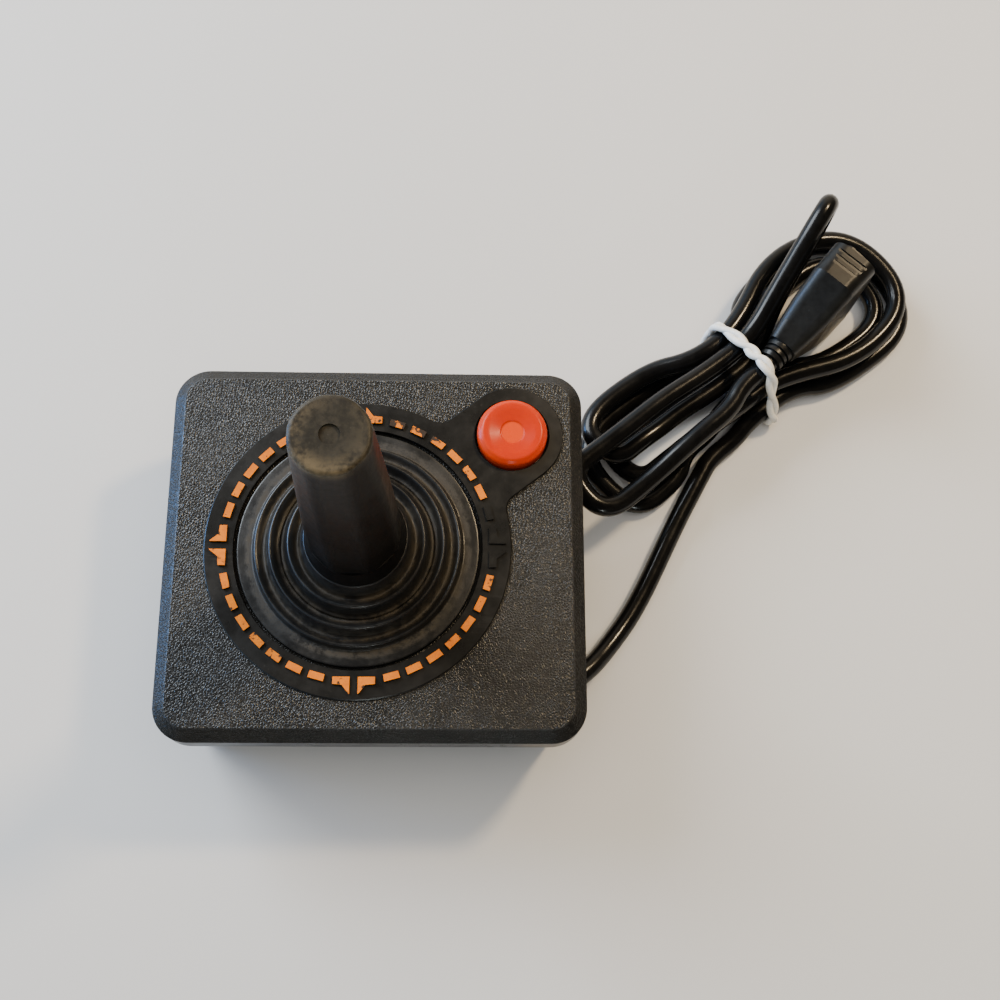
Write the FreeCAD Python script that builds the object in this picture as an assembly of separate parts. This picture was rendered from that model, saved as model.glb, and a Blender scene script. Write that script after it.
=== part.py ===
"""Stick controller: a square case with a boot-sealed stick, one push button, a cord tied in a hank
and a nine-way plug.

Lengths in millimetres, +Z up. X = 0, Y = 0 is the middle of the case and Z = 0 is the surface it
stands on. The button is on the -X +Y corner and the cord leaves through the +Y wall.
"""
import FreeCAD, Part
import math
import os

V = FreeCAD.Vector
UP = V(0, 0, 1)

# Case
CASE_WIDTH = 87.0
CASE_LENGTH = 95.25
CASE_HEIGHT = 36.0
CORNER_RADIUS = 8.0
CHAMFER_INSET = 2.93
CHAMFER_DROP = 2.35
BAND_BOTTOM = CASE_HEIGHT - 8.65
BASE_INSET = 4.0
WALL = 2.4
SEAM_HEIGHT = CASE_HEIGHT - 19.0
SEAM_STEP = 0.3
TONGUE_HEIGHT = 2.0
TONGUE_START = 1.2
CHAMFER_START = CASE_HEIGHT - CHAMFER_DROP
TOP_UNDERSIDE = CASE_HEIGHT - WALL

# Raised plate and its marks
RING_Y = -3.68
PLATE_RADIUS = 34.65
PLATE_RISE = 0.6
PLATE_TOP = CASE_HEIGHT + PLATE_RISE
KEYHOLE_RADIUS = 11.9
KEYHOLE_FILLET = 4.0
PLATE_EDGE = 0.25
MARK_RADIUS = 30.5
MARK_LENGTH = 3.5
MARK_WIDTH = 1.6
MARK_RISE = 0.5
MARKS_PER_QUARTER = 7
MARK_FIRST = math.radians(15.6)
FOIL = 0.12
# half a pointer: distance from the middle of the ring, distance from the pointer's own line
POINTER_HALF = ((29.5, 0.9), (33.3, 0.9), (33.1, 1.2), (31.3, 2.6), (31.1, 4.65), (29.5, 4.65))

# Boot seat
SEAT_RADIUS = 28.1
SEAT_FLOOR = CASE_HEIGHT - 1.0
BOOT_HOLE_RADIUS = SEAT_RADIUS - 6.1
BOOT_SEAT_CLEARANCE = 0.05
BOOT_RADIUS = SEAT_RADIUS - 0.6
BOOT_SHEET = 1.45
# Folds of the boot as (radius, height above the case's face)
BOOT_CRESTS = ((23.1, 1.9), (19.4, 4.3), (15.1, 6.3))
BOOT_VALLEYS = ((21.0, 1.0), (17.2, 2.8), (13.2, 4.8))

# Fire button
BUTTON_X = 16.3 - CASE_WIDTH / 2
BUTTON_Y = CASE_LENGTH / 2 - 16.525
BUTTON_RADIUS = 8.12
BUTTON_CLEARANCE = 0.08
BUTTON_MOUTH_RADIUS = BUTTON_RADIUS + 0.63
BUTTON_TOP = PLATE_TOP + 3.0
BUTTON_FLANGE_RADIUS = BUTTON_RADIUS + 1.48
BUTTON_FLANGE = 1.5
BUTTON_WALL = 1.32
BUTTON_UNDERSIDE = BUTTON_TOP - 2.3
STEM_RADIUS = 2.2
BUTTON_TRAVEL = 1.8
SLEEVE_BOTTOM = CASE_HEIGHT - 9.0
SLEEVE_WALL = 1.5
SPRING_RADIUS = 5.6
SPRING_WIRE = 0.3
SPRING_TURNS = 7

# Board and contacts
BOARD_TOP = CASE_HEIGHT - 20.0
BOARD_THICKNESS = 1.6
BOARD_HALF_WIDTH = CASE_WIDTH / 2 - 11.0
BOARD_Y_MIN = 23.625 - CASE_LENGTH / 2
BOARD_Y_MAX = CASE_LENGTH / 2 - 7.625
DOME_RING = 12.0
DOME_RADIUS = 5.0
DOME_HEIGHT = 1.3
FIRE_DOME_RADIUS = 4.5
FIRE_DOME_HEIGHT = 1.2
STEM_TIP = BOARD_TOP + BUTTON_TRAVEL + 0.2
DOME_SHEET = 0.25
TAPE = 0.12
PIN_RADIUS = 1.2
PIN_CLEARANCE = 0.1
CLAMP_X = BOARD_HALF_WIDTH - 3.0
CLAMP_Y = BOARD_Y_MIN + 3.5
CLAMP_POINTS = ((CLAMP_X, CLAMP_Y), (-CLAMP_X, CLAMP_Y))
POST_POINTS = CLAMP_POINTS + ((BOARD_HALF_WIDTH - 2.5, BOARD_Y_MAX - 16.0),
                              (BUTTON_X + 11.2, BOARD_Y_MAX - 4.0))
POST_RADIUS = 2.5

# Screws
SCREW_X = CASE_WIDTH / 2 - 9.0
SCREW_Y = 9.125 - CASE_LENGTH / 2
SCREW_POINTS = ((SCREW_X, SCREW_Y), (-SCREW_X, SCREW_Y), (-SCREW_X, BUTTON_Y - 13.1),
                (SCREW_X, CASE_LENGTH / 2 - 15.625))
SCREW_SHANK = 1.5
SCREW_LENGTH = 16.0
SCREW_HEAD_RADIUS = 2.9
SCREW_HEAD_HEIGHT = 2.0
SCREW_WELL_RADIUS = 3.2
SCREW_WELL_DEPTH = 6.0
BOSS_RADIUS = 4.6
BOSS_TOP = 10.0
PILLAR_RADIUS = 2.9
SCREW_CLEARANCE = 0.05

# Stick
PIVOT_HEIGHT = BOARD_TOP + 3.0
BALL_RADIUS = 2.5
CUP_CLEARANCE = 0.05
CUP_POST_RADIUS = 4.0
DISC_RADIUS = 16.0
DISC_BOTTOM = BOARD_TOP + 6.0
DISC_TOP = DISC_BOTTOM + 2.0
PUSHER_RADIUS = 1.5
PUSHER_TIP = BOARD_TOP + 1.9
SHAFT_RADIUS = 4.6
SHAFT_FOOT_RADIUS = 5.6
SHAFT_FOOT_LENGTH = 16.0
NECK_RADIUS = 2.0
SHAFT_CLEARANCE = 0.1
GRIP_TOP = CASE_HEIGHT + 74.3
GRIP_FOOT = CASE_HEIGHT + 14.6
COLLAR_FOOT = CASE_HEIGHT + 9.7
COLLAR_RADIUS = 11.3
COLLAR_TOP_RADIUS = 10.2
COLLAR_TUBE_RADIUS = 10.0
COLLAR_TUBE_BOTTOM = CASE_HEIGHT + 6.0
COLLAR_CLEARANCE = 0.1
# sections of the handle: part of its length, half the width across flats, corner length
GRIP_STEPS = ((0.0, 9.84, 1.3), (0.224, 9.45, 1.4), (0.459, 8.9, 1.6), (0.693, 8.3, 1.9), (0.894, 7.75, 2.3),
              (1.0, 7.45, 2.6))
SHAFT_TOP = GRIP_TOP - 6.8
SHAFT_END_CLEARANCE = 0.5
CAP_ROUND = 0.9
DIMPLE_RADIUS = 1.9
DIMPLE_DEPTH = 0.5

# Cord
CORD_RADIUS = 2.5
CORD_ON_FLOOR = CORD_RADIUS + 0.05
WALL_Y = CASE_LENGTH / 2
WALL_X = CASE_WIDTH / 2
CORD_START = V(WALL_X - 13.7, WALL_Y - 6.425, BOARD_TOP - 5.4)
CORD_EXIT = V(WALL_X - 19.6, WALL_Y + 2.025, BOARD_TOP - 7.45)
CORD_MIDDLE = (V(WALL_X - 27.0, WALL_Y + 8.375, 4.7), V(WALL_X - 38.0, WALL_Y + 16.275, CORD_ON_FLOOR))
LEAD_LAST_RUN = 14.0
BUSH_RADIUS = 3.5
BUSH_START = 0.8
BUSH_END = 5.6
BUSH_CLEARANCE = 0.02

# Terminals and inner wires
WIRE_RADIUS = 0.45
WIRE_STRAIGHT = 3.4
TERMINAL_FIRST_X = CORD_START.x - 6.3
TERMINAL_PITCH = 3.6
TERMINAL_Y = BOARD_Y_MAX - 4.5
TERMINAL_SIZE = (2.4, 3.6, 2.4)

# Hank, in its own frame: u along the waist, v to its left, from the middle of the tie
HANK_X = -CASE_WIDTH / 2 - 11.8
HANK_Y = CASE_LENGTH / 2 + 45.275
HANK_ANGLE = math.radians(129.36)
ENTRY_ANGLE = math.radians(22.0)
ENTRY_U = -15.0
ENTRY_V = -11.1
ENTRY_SPAN = 11.3
WAIST_HALF = 3.0
WAIST_STEP = 6.8
LANE = 5.9
LAYER = 5.9
LOWEST = 2.6
ROW_SHIFTS = (0.4, 1.4, 0.0)
# Crossings of the waist in the cord's order: half steps to the left of its middle, row, and how many
# layers it lies above the row
CROSSINGS = ((-3.0, 0, 0.25), (3.0, 0, 0.3), (-1.0, 0, 0.25), (1.2, 0, 0.15), (-2.2, 1, 0.15),
             (2.5, 1, 0.65), (0.0, 1, 0.05), (1.5, 2, 0.1), (-1.1, 2, 0.5))
PLUG_SIDE_LOW = -11.0
PLUG_SIDE_HIGH = 12.8
PLUG_START_U = 3.5
FAN_START_U = 5.0
FAN_START_SETBACK = 3.2
TIE_WIDTH = 3.0
TIE_THICKNESS = 0.8
TIE_CLEARANCE = 0.1

# Plug, along its own axis from the cord's end
PLUG_ANGLE = math.radians(9.3)
RELIEF_RADIUS = 3.6
HOOD_SECTIONS = ((4.5, 3.9, 3.8), (9.0, 4.8, 6.5), (14.0, 5.6, 10.0), (21.0, 6.0, 15.2), (30.0, 6.2, 15.9))
HOOD_ROUNDING = 0.55
INSERT_START = 27.0
INSERT_END = 35.5
INSERT_WIDTH = 16.4
INSERT_THICKNESS = 8.2
CONTACT_PITCH = 2.76
CONTACT_ROW = 2.84
CONTACT_RADIUS = 0.95
CONTACT_BORE = 0.55


def box(x, y, z, size_x, size_y, size_z):
    """Box centred on x, y with its bottom at z."""
    return Part.makeBox(size_x, size_y, size_z, V(x - size_x / 2, y - size_y / 2, z))


def cylinder(x, y, z_low, z_high, radius):
    """Upright cylinder between two heights."""
    return Part.makeCylinder(radius, z_high - z_low, V(x, y, z_low), UP)


def fused(shapes):
    """One solid from touching or overlapping shapes."""
    whole = shapes[0]
    for shape in shapes[1:]:
        whole = whole.fuse(shape)
    return whole.removeSplitter()


def bent_edges(points, setbacks, closed):
    """Straight edges joined by arcs that touch them at the given distance from each corner."""
    count = len(points)
    starts = []
    ends = []
    arcs = []
    for index, corner in enumerate(points):
        setback = setbacks[index]
        inner = closed or 0 < index < count - 1
        if not inner or setback < 1e-6:
            starts.append(corner)
            ends.append(corner)
            arcs.append(None)
            continue
        back = (points[index - 1] - corner).normalize()
        ahead = (points[(index + 1) % count] - corner).normalize()
        half = back.getAngle(ahead) / 2
        radius = setback * math.tan(half)
        inward = (back + ahead).normalize()
        reach = setback / math.cos(half) - radius
        start = corner + back * setback
        end = corner + ahead * setback
        starts.append(start)
        ends.append(end)
        arcs.append(Part.Arc(start, corner + inward * reach, end).toShape())
    edges = []
    for index in range(count):
        if arcs[index] is not None:
            edges.append(arcs[index])
        if index == count - 1 and not closed:
            break
        following = starts[(index + 1) % count]
        if ends[index].distanceToPoint(following) > 1e-5:
            edges.append(Part.LineSegment(ends[index], following).toShape())
    return edges


def bend_radii(points, setbacks):
    """Radius of the arc at each inner corner of an open route."""
    radii = []
    for index in range(1, len(points) - 1):
        back = points[index - 1] - points[index]
        ahead = points[index + 1] - points[index]
        radii.append(setbacks[index] * math.tan(back.getAngle(ahead) / 2))
    return radii


def tube(wire, radius, normal):
    """Solid round tube along a smooth wire that starts in the direction of normal."""
    start = wire.Edges[0].valueAt(wire.Edges[0].FirstParameter)
    ring = Part.Wire([Part.Circle(start, normal, radius).toShape()])
    return wire.makePipeShell([ring], True, False)


def turned(profile, setbacks, x, y):
    """Solid of revolution round the upright axis at x, y from a closed (radius, height) profile."""
    points = [V(x + radius, y, z) for radius, z in profile]
    face = Part.Face(Part.Wire(bent_edges(points, setbacks, True)))
    return face.revolve(V(x, y, 0), UP, 360)


def cap(x, y, z, radius, height):
    """Domed cap standing on height z."""
    ball = (radius ** 2 + height ** 2) / (2 * height)
    sphere = Part.makeSphere(ball, V(x, y, z + height - ball))
    return sphere.common(cylinder(x, y, z, z + height + 1, radius + 1))


def rounded_rectangle(half_x, half_y, radius, z):
    """Wire of a rectangle with round corners."""
    points = [V(half_x, half_y, z), V(-half_x, half_y, z), V(-half_x, -half_y, z), V(half_x, -half_y, z)]
    return Part.Wire(bent_edges(points, [radius] * 4, True))


def outer_inset(z):
    """How far the case's outside lies inside its widest outline at height z."""
    if z < BAND_BOTTOM:
        return BASE_INSET * (BAND_BOTTOM - z) / BAND_BOTTOM
    if z > CHAMFER_START:
        return CHAMFER_INSET * (z - CHAMFER_START) / CHAMFER_DROP
    return 0.0


def case_block(z_low, z_high, extra):
    """Solid inside the case's outline, drawn in by extra."""
    heights = [z_low] + [z for z in (BAND_BOTTOM, CHAMFER_START) if z_low < z < z_high] + [z_high]
    wires = []
    for z in heights:
        inset = outer_inset(z) + extra
        wires.append(rounded_rectangle(CASE_WIDTH / 2 - inset, CASE_LENGTH / 2 - inset,
                                       CORNER_RADIUS - inset, z))
    return Part.makeLoft(wires, True, True)


def face_plate():
    """Raised smooth plate: the ring round the boot and the keyhole round the button."""
    foot = CASE_HEIGHT - 0.4
    away = V(BUTTON_X, BUTTON_Y - RING_Y, 0)
    angle = math.degrees(math.atan2(away.y, away.x))
    web = Part.makeBox(away.Length, 2 * KEYHOLE_RADIUS, PLATE_TOP - foot, V(0, -KEYHOLE_RADIUS, foot))
    web.rotate(V(0, 0, 0), UP, angle)
    web.translate(V(0, RING_Y, 0))
    plate = fused([cylinder(0, RING_Y, foot, PLATE_TOP, PLATE_RADIUS),
                   cylinder(BUTTON_X, BUTTON_Y, foot, PLATE_TOP, KEYHOLE_RADIUS), web])
    along = math.sqrt(PLATE_RADIUS ** 2 - KEYHOLE_RADIUS ** 2)
    reach = V(0, RING_Y, 0) + away.normalize() * along
    side = V(-away.y, away.x, 0) * KEYHOLE_RADIUS
    inner_corners = [reach + side, reach - side]
    edges = []
    for edge in plate.Edges:
        middle = edge.CenterOfMass
        if any(math.hypot(middle.x - p.x, middle.y - p.y) < 0.1 for p in inner_corners):
            edges.append(edge)
    plate = plate.makeFillet(KEYHOLE_FILLET, edges)
    rim = [edge for edge in plate.Edges if edge.BoundBox.ZMin > PLATE_TOP - 0.01]
    return plate.makeChamfer(PLATE_EDGE, rim)


def mark_outlines():
    """Closed point lists of the marks round the boot, with True where the top is coloured."""
    outlines = []
    pitch = (math.radians(90) - 2 * MARK_FIRST) / (MARKS_PER_QUARTER - 1)
    half = MARK_LENGTH / 2 / MARK_RADIUS
    inner = MARK_RADIUS - MARK_WIDTH / 2
    outer = MARK_RADIUS + MARK_WIDTH / 2
    for quarter in range(4):
        pointer = math.radians(90 * quarter)
        for index in range(MARKS_PER_QUARTER):
            middle = pointer + MARK_FIRST + pitch * index
            corners = ((inner, -half), (outer, -half), (outer, half), (inner, half))
            outlines.append(([(r, middle + turn) for r, turn in corners], (quarter, index) != (1, 0)))
        for side in (1, -1):
            corners = [(math.hypot(r, away), pointer + side * math.atan2(away, r))
                       for r, away in POINTER_HALF]
            outlines.append((corners, quarter != 1))
    return outlines


def mark_block(outline, z_low, z_high):
    """Upright block on a mark's outline."""
    points = [V(r * math.cos(turn), RING_Y + r * math.sin(turn), z_low) for r, turn in outline]
    face = Part.Face(Part.makePolygon(points + points[:1]))
    return face.extrude(V(0, 0, z_high - z_low))


def top_case():
    """Upper half: shell, plate, marks, boot seat, button sleeve, screw pillars, board clamps."""
    shell = case_block(SEAM_HEIGHT, CASE_HEIGHT, 0.0)
    shell = shell.cut(case_block(SEAM_HEIGHT - 1, TOP_UNDERSIDE, WALL))
    shell = shell.cut(case_block(SEAM_HEIGHT - 1, SEAM_HEIGHT + TONGUE_HEIGHT + 0.1, TONGUE_START))
    parts = [shell, face_plate()]
    for outline, _ in mark_outlines():
        parts.append(mark_block(outline, PLATE_TOP - 0.3, PLATE_TOP + MARK_RISE))
    sleeve_outer = BUTTON_RADIUS + BUTTON_CLEARANCE + SLEEVE_WALL
    parts.append(cylinder(BUTTON_X, BUTTON_Y, SLEEVE_BOTTOM, TOP_UNDERSIDE + 0.4, sleeve_outer))
    for x, y in SCREW_POINTS:
        parts.append(cylinder(x, y, BOSS_TOP, TOP_UNDERSIDE + 0.4, PILLAR_RADIUS))
    for x, y in CLAMP_POINTS:
        parts.append(cylinder(x, y, BOARD_TOP, TOP_UNDERSIDE + 0.4, POST_RADIUS))
    whole = fused(parts)
    cuts = [cylinder(0, RING_Y, SEAT_FLOOR, PLATE_TOP + 1, SEAT_RADIUS),
            cylinder(0, RING_Y, TOP_UNDERSIDE - 1, PLATE_TOP + 1, BOOT_HOLE_RADIUS),
            cylinder(BUTTON_X, BUTTON_Y, SLEEVE_BOTTOM - 1, PLATE_TOP + 1, BUTTON_RADIUS + BUTTON_CLEARANCE),
            cylinder(BUTTON_X, BUTTON_Y, PLATE_TOP - 1.6, PLATE_TOP + 1, BUTTON_MOUTH_RADIUS)]
    for x, y in SCREW_POINTS:
        cuts.append(cylinder(x, y, BOSS_TOP - 1, SCREW_WELL_DEPTH + SCREW_LENGTH + 2,
                             SCREW_SHANK + SCREW_CLEARANCE))
    for tool in cuts:
        whole = whole.cut(tool)
    return whole


def cord_axis():
    """Direction of the cord where it passes the wall, towards the outside."""
    return (CORD_EXIT - CORD_START).normalize()


def bottom_case():
    """Lower half: tray, tongue, screw bosses, board posts, ball cup, cord opening."""
    shell = case_block(0.0, SEAM_HEIGHT, SEAM_STEP)
    shell = shell.cut(case_block(WALL, SEAM_HEIGHT + 1, WALL))
    tongue = case_block(SEAM_HEIGHT - 1, SEAM_HEIGHT + TONGUE_HEIGHT, TONGUE_START + 0.1)
    tongue = tongue.cut(case_block(SEAM_HEIGHT - 2, SEAM_HEIGHT + TONGUE_HEIGHT + 1, WALL))
    parts = [shell, tongue, cylinder(0, RING_Y, WALL - 0.4, PIVOT_HEIGHT - 1.4, CUP_POST_RADIUS)]
    for x, y in SCREW_POINTS:
        parts.append(cylinder(x, y, WALL - 0.4, BOSS_TOP, BOSS_RADIUS))
    board_bottom = BOARD_TOP - BOARD_THICKNESS
    for x, y in POST_POINTS:
        parts.append(cylinder(x, y, WALL - 0.4, board_bottom, POST_RADIUS))
    for x, y in CLAMP_POINTS:
        parts.append(cylinder(x, y, board_bottom - 0.4, BOARD_TOP - 0.2, PIN_RADIUS))
    whole = fused(parts)
    whole = whole.cut(Part.makeSphere(BALL_RADIUS + CUP_CLEARANCE, V(0, RING_Y, PIVOT_HEIGHT)))
    for x, y in SCREW_POINTS:
        whole = whole.cut(cylinder(x, y, -1, SCREW_WELL_DEPTH, SCREW_WELL_RADIUS))
        whole = whole.cut(cylinder(x, y, SCREW_WELL_DEPTH - 1, BOSS_TOP + 1, SCREW_SHANK + 0.3))
    return whole.cut(Part.makeCylinder(BUSH_RADIUS + 0.05, 8.0, CORD_START, cord_axis()))


def case_screws():
    """Four pan-head screws with a cross recess, driven from below."""
    screws = []
    seat = SCREW_WELL_DEPTH
    for x, y in SCREW_POINTS:
        head = cylinder(x, y, seat - SCREW_HEAD_HEIGHT, seat, SCREW_HEAD_RADIUS)
        rim = [edge for edge in head.Edges if edge.BoundBox.ZMax < seat - SCREW_HEAD_HEIGHT + 0.01]
        head = head.makeFillet(0.7, rim)
        for size_x, size_y in ((3.2, 0.8), (0.8, 3.2)):
            head = head.cut(box(x, y, seat - SCREW_HEAD_HEIGHT - 1, size_x, size_y, 2.0))
        screws.append(head.fuse(cylinder(x, y, seat - 0.5, seat + SCREW_LENGTH, SCREW_SHANK)))
    return Part.makeCompound([screw.removeSplitter() for screw in screws])


def mark_foil():
    """Thin coloured caps on the marks."""
    top = PLATE_TOP + MARK_RISE
    return Part.makeCompound([mark_block(outline, top, top + FOIL)
                              for outline, coloured in mark_outlines() if coloured])


def above_case(point):
    """A point of the boot's profile, its height counted from the case's face."""
    return point[0], CASE_HEIGHT + point[1]


def rubber_boot():
    """Bellows: flange in its seat, neck and lip through the hole, three folds, ring for the collar."""
    seat = SEAT_FLOOR + BOOT_SEAT_CLEARANCE
    under = TOP_UNDERSIDE - 0.15
    bore = COLLAR_TUBE_RADIUS + COLLAR_CLEARANCE
    crests = BOOT_CRESTS
    valleys = BOOT_VALLEYS
    profile = [((BOOT_RADIUS, seat), 0), ((BOOT_RADIUS, CASE_HEIGHT + 0.25), 0.25),
               ((crests[0][0] + 1.0, CASE_HEIGHT + 0.3), 0.15)]
    for crest, valley in zip(crests, valleys):
        profile += [(above_case(crest), 0.6), (above_case(valley), 0.5)]
    profile += [((COLLAR_RADIUS, COLLAR_FOOT - 0.3), 0.3), ((bore, COLLAR_FOOT - 0.3), 0),
                ((bore, COLLAR_FOOT - 3.8), 0.3)]
    for valley, crest in zip(valleys[::-1], crests[:0:-1]):
        profile += [(above_case((valley[0] - 0.3, valley[1] - BOOT_SHEET)), 0.4),
                    (above_case((crest[0] - 0.3, crest[1] - BOOT_SHEET)), 0.5)]
    neck = BOOT_HOLE_RADIUS - 0.3
    inner = neck - 1.5
    profile += [((inner, CASE_HEIGHT - 0.4), 0.3), ((inner, under - 1.0), 0),
                ((neck + 1.7, under - 1.0), 0.3),
                ((neck + 1.7, under), 0.3), ((neck, under), 0), ((neck, seat), 0)]
    return turned([point for point, _ in profile], [setback for _, setback in profile], 0, RING_Y)


def octagon(half, corner, z):
    """Wire of a round-cornered octagon with a flat towards +X, half its width across flats."""
    reach = half / math.cos(math.pi / 8)
    points = []
    for index in range(8):
        turn = math.pi / 8 + index * math.pi / 4
        points.append(V(reach * math.cos(turn), RING_Y + reach * math.sin(turn), z))
    return Part.Wire(bent_edges(points, [corner] * 8, True))


def grip_sleeve():
    """Eight-sided tapering handle with a rounded end, a dimple, and the collar the boot holds."""
    length = GRIP_TOP - GRIP_FOOT
    sections = [octagon(half, corner, GRIP_FOOT + part * length) for part, half, corner in GRIP_STEPS]
    handle = Part.makeLoft(sections, True, True)
    rim = [edge for edge in handle.Edges if edge.BoundBox.ZMin > GRIP_TOP - 0.01]
    handle = handle.makeFillet(CAP_ROUND, rim)
    collar = Part.makeCone(COLLAR_RADIUS, COLLAR_TOP_RADIUS, GRIP_FOOT - COLLAR_FOOT + 0.1,
                           V(0, RING_Y, COLLAR_FOOT), UP)
    neck = cylinder(0, RING_Y, COLLAR_TUBE_BOTTOM, COLLAR_FOOT + 0.5, COLLAR_TUBE_RADIUS)
    whole = fused([handle, collar, neck])
    bore = SHAFT_RADIUS + SHAFT_CLEARANCE
    whole = whole.cut(cylinder(0, RING_Y, COLLAR_TUBE_BOTTOM - 1, SHAFT_TOP + SHAFT_END_CLEARANCE, bore))
    return whole.cut(cylinder(0, RING_Y, GRIP_TOP - DIMPLE_DEPTH, GRIP_TOP + 1, DIMPLE_RADIUS))


def stick_core():
    """Ball end, disc with four pushers, and the shaft up the middle of the grip."""
    parts = [Part.makeSphere(BALL_RADIUS, V(0, RING_Y, PIVOT_HEIGHT)),
             cylinder(0, RING_Y, PIVOT_HEIGHT, DISC_BOTTOM + 0.5, NECK_RADIUS),
             cylinder(0, RING_Y, DISC_BOTTOM, DISC_TOP, DISC_RADIUS),
             Part.makeCone(SHAFT_FOOT_RADIUS, SHAFT_RADIUS, SHAFT_FOOT_LENGTH,
                           V(0, RING_Y, DISC_TOP - 0.5), UP),
             cylinder(0, RING_Y, DISC_TOP + SHAFT_FOOT_LENGTH - 1, SHAFT_TOP, SHAFT_RADIUS)]
    for x, y in dome_points():
        parts.append(cylinder(x, y, PUSHER_TIP + PUSHER_RADIUS, DISC_BOTTOM + 0.5, PUSHER_RADIUS))
        parts.append(Part.makeSphere(PUSHER_RADIUS, V(x, y, PUSHER_TIP + PUSHER_RADIUS)))
    return fused(parts)


def dome_points():
    """Middles of the four direction contacts."""
    return [(DOME_RING, RING_Y), (0, RING_Y + DOME_RING), (-DOME_RING, RING_Y), (0, RING_Y - DOME_RING)]


def circuit_board():
    """Board with the stick's opening, pin holes and corners cut for the pillars."""
    bottom = BOARD_TOP - BOARD_THICKNESS
    middle = (BOARD_Y_MIN + BOARD_Y_MAX) / 2
    board = box(0, middle, bottom, 2 * BOARD_HALF_WIDTH, BOARD_Y_MAX - BOARD_Y_MIN, BOARD_THICKNESS)
    board = board.cut(cylinder(0, RING_Y, bottom - 1, BOARD_TOP + 1, CUP_POST_RADIUS + 0.5))
    for x, y in CLAMP_POINTS:
        board = board.cut(cylinder(x, y, bottom - 1, BOARD_TOP + 1, PIN_RADIUS + PIN_CLEARANCE))
    for x, y in SCREW_POINTS:
        board = board.cut(cylinder(x, y, bottom - 1, BOARD_TOP + 1, PILLAR_RADIUS + 0.7))
    return board


def dome_shell(x, y, radius, height):
    """Thin sprung dome on the board."""
    inside = cap(x, y, BOARD_TOP, radius - DOME_SHEET, height - DOME_SHEET)
    return cap(x, y, BOARD_TOP, radius, height).cut(inside)


def dome_tape():
    """Tape over the four domes, laid down on the board between them."""
    tape = cylinder(0, RING_Y, BOARD_TOP, BOARD_TOP + TAPE, DISC_RADIUS + 2.5)
    tape = tape.cut(cylinder(0, RING_Y, BOARD_TOP - 1, BOARD_TOP + 1, CUP_POST_RADIUS + 0.7))
    for x, y in dome_points():
        tape = tape.fuse(cap(x, y, BOARD_TOP, DOME_RADIUS + 0.4, DOME_HEIGHT + TAPE + 0.03))
    for x, y in dome_points():
        tape = tape.cut(cap(x, y, BOARD_TOP, DOME_RADIUS + 0.05, DOME_HEIGHT + 0.03))
    return tape


def fire_button():
    """Dished cap with a rim, a guide skirt, a holding flange and a stem over the contact."""
    dish = BUTTON_TOP - 0.8
    flange_top = SLEEVE_BOTTOM - 0.1
    flange_foot = flange_top - BUTTON_FLANGE
    inner = BUTTON_RADIUS - BUTTON_WALL
    profile = [((0, dish - 0.25), 0), ((2.6, dish - 0.25), 0.15), ((2.83, dish + 0.02), 0.1),
               ((BUTTON_RADIUS - 2.5, BUTTON_TOP - 0.1), 0.4),
               ((BUTTON_RADIUS - 1.2, BUTTON_TOP - 0.05), 0.5),
               ((BUTTON_RADIUS, BUTTON_TOP - 1.3), 0.6), ((BUTTON_RADIUS, flange_top), 0),
               ((BUTTON_FLANGE_RADIUS, flange_top), 0), ((BUTTON_FLANGE_RADIUS, flange_foot), 0),
               ((inner, flange_foot), 0), ((inner, BUTTON_UNDERSIDE), 0),
               ((STEM_RADIUS, BUTTON_UNDERSIDE), 0),
               ((STEM_RADIUS, STEM_TIP), 0.4), ((0, STEM_TIP), 0)]
    return turned([point for point, _ in profile], [setback for _, setback in profile],
                  BUTTON_X, BUTTON_Y)


def curve_corners(start, start_way, end, end_way):
    """Two corner points of the pair of arcs that leave start and reach end in the given directions."""
    gap = end - start
    a = 2 * (1 - start_way.dot(end_way))
    b = 2 * gap.dot(start_way + end_way)
    c = -gap.dot(gap)
    length = (-b + math.sqrt(b * b - 4 * a * c)) / (2 * a)
    return start + start_way * length, end - end_way * length, length


def button_spring():
    """Coil spring between the board and the button."""
    low = BOARD_TOP + SPRING_WIRE + 0.05
    high = BUTTON_UNDERSIDE - SPRING_WIRE - 0.05
    quarters = 4 * SPRING_TURNS
    rise = (high - low) / quarters
    points = []
    setbacks = []
    for index in range(quarters):
        ends = []
        for step in (index, index + 1):
            turn = step * math.pi / 2
            where = V(BUTTON_X + SPRING_RADIUS * math.cos(turn), BUTTON_Y + SPRING_RADIUS * math.sin(turn),
                      low + rise * step)
            way = V(-SPRING_RADIUS * math.sin(turn), SPRING_RADIUS * math.cos(turn), rise * 2 / math.pi)
            ends.append((where, way.normalize()))
        first, second, length = curve_corners(ends[0][0], ends[0][1], ends[1][0], ends[1][1])
        points += [first, second]
        setbacks += [length, length]
    start = V(BUTTON_X + SPRING_RADIUS, BUTTON_Y, low)
    end = V(BUTTON_X + SPRING_RADIUS, BUTTON_Y, high)
    wire = Part.Wire(bent_edges([start] + points + [end], [0] + setbacks + [0], False))
    return tube(wire, SPRING_WIRE, (points[0] - start).normalize())


def cord_bush():
    """Rubber bush round the cord in the wall."""
    axis = cord_axis()
    start = CORD_START + axis * BUSH_START
    outer = Part.makeCylinder(BUSH_RADIUS, BUSH_END - BUSH_START, start, axis)
    return outer.cut(Part.makeCylinder(CORD_RADIUS + BUSH_CLEARANCE, 20.0, CORD_START - axis * 5, axis))


def terminal_x(index):
    """Where the terminal of a wire stands."""
    return TERMINAL_FIRST_X - TERMINAL_PITCH * index


def wire_terminals():
    """Six terminal blocks on the board."""
    size_x, size_y, size_z = TERMINAL_SIZE
    return Part.makeCompound([box(terminal_x(index), TERMINAL_Y, BOARD_TOP, size_x, size_y, size_z)
                              for index in range(6)])


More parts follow.
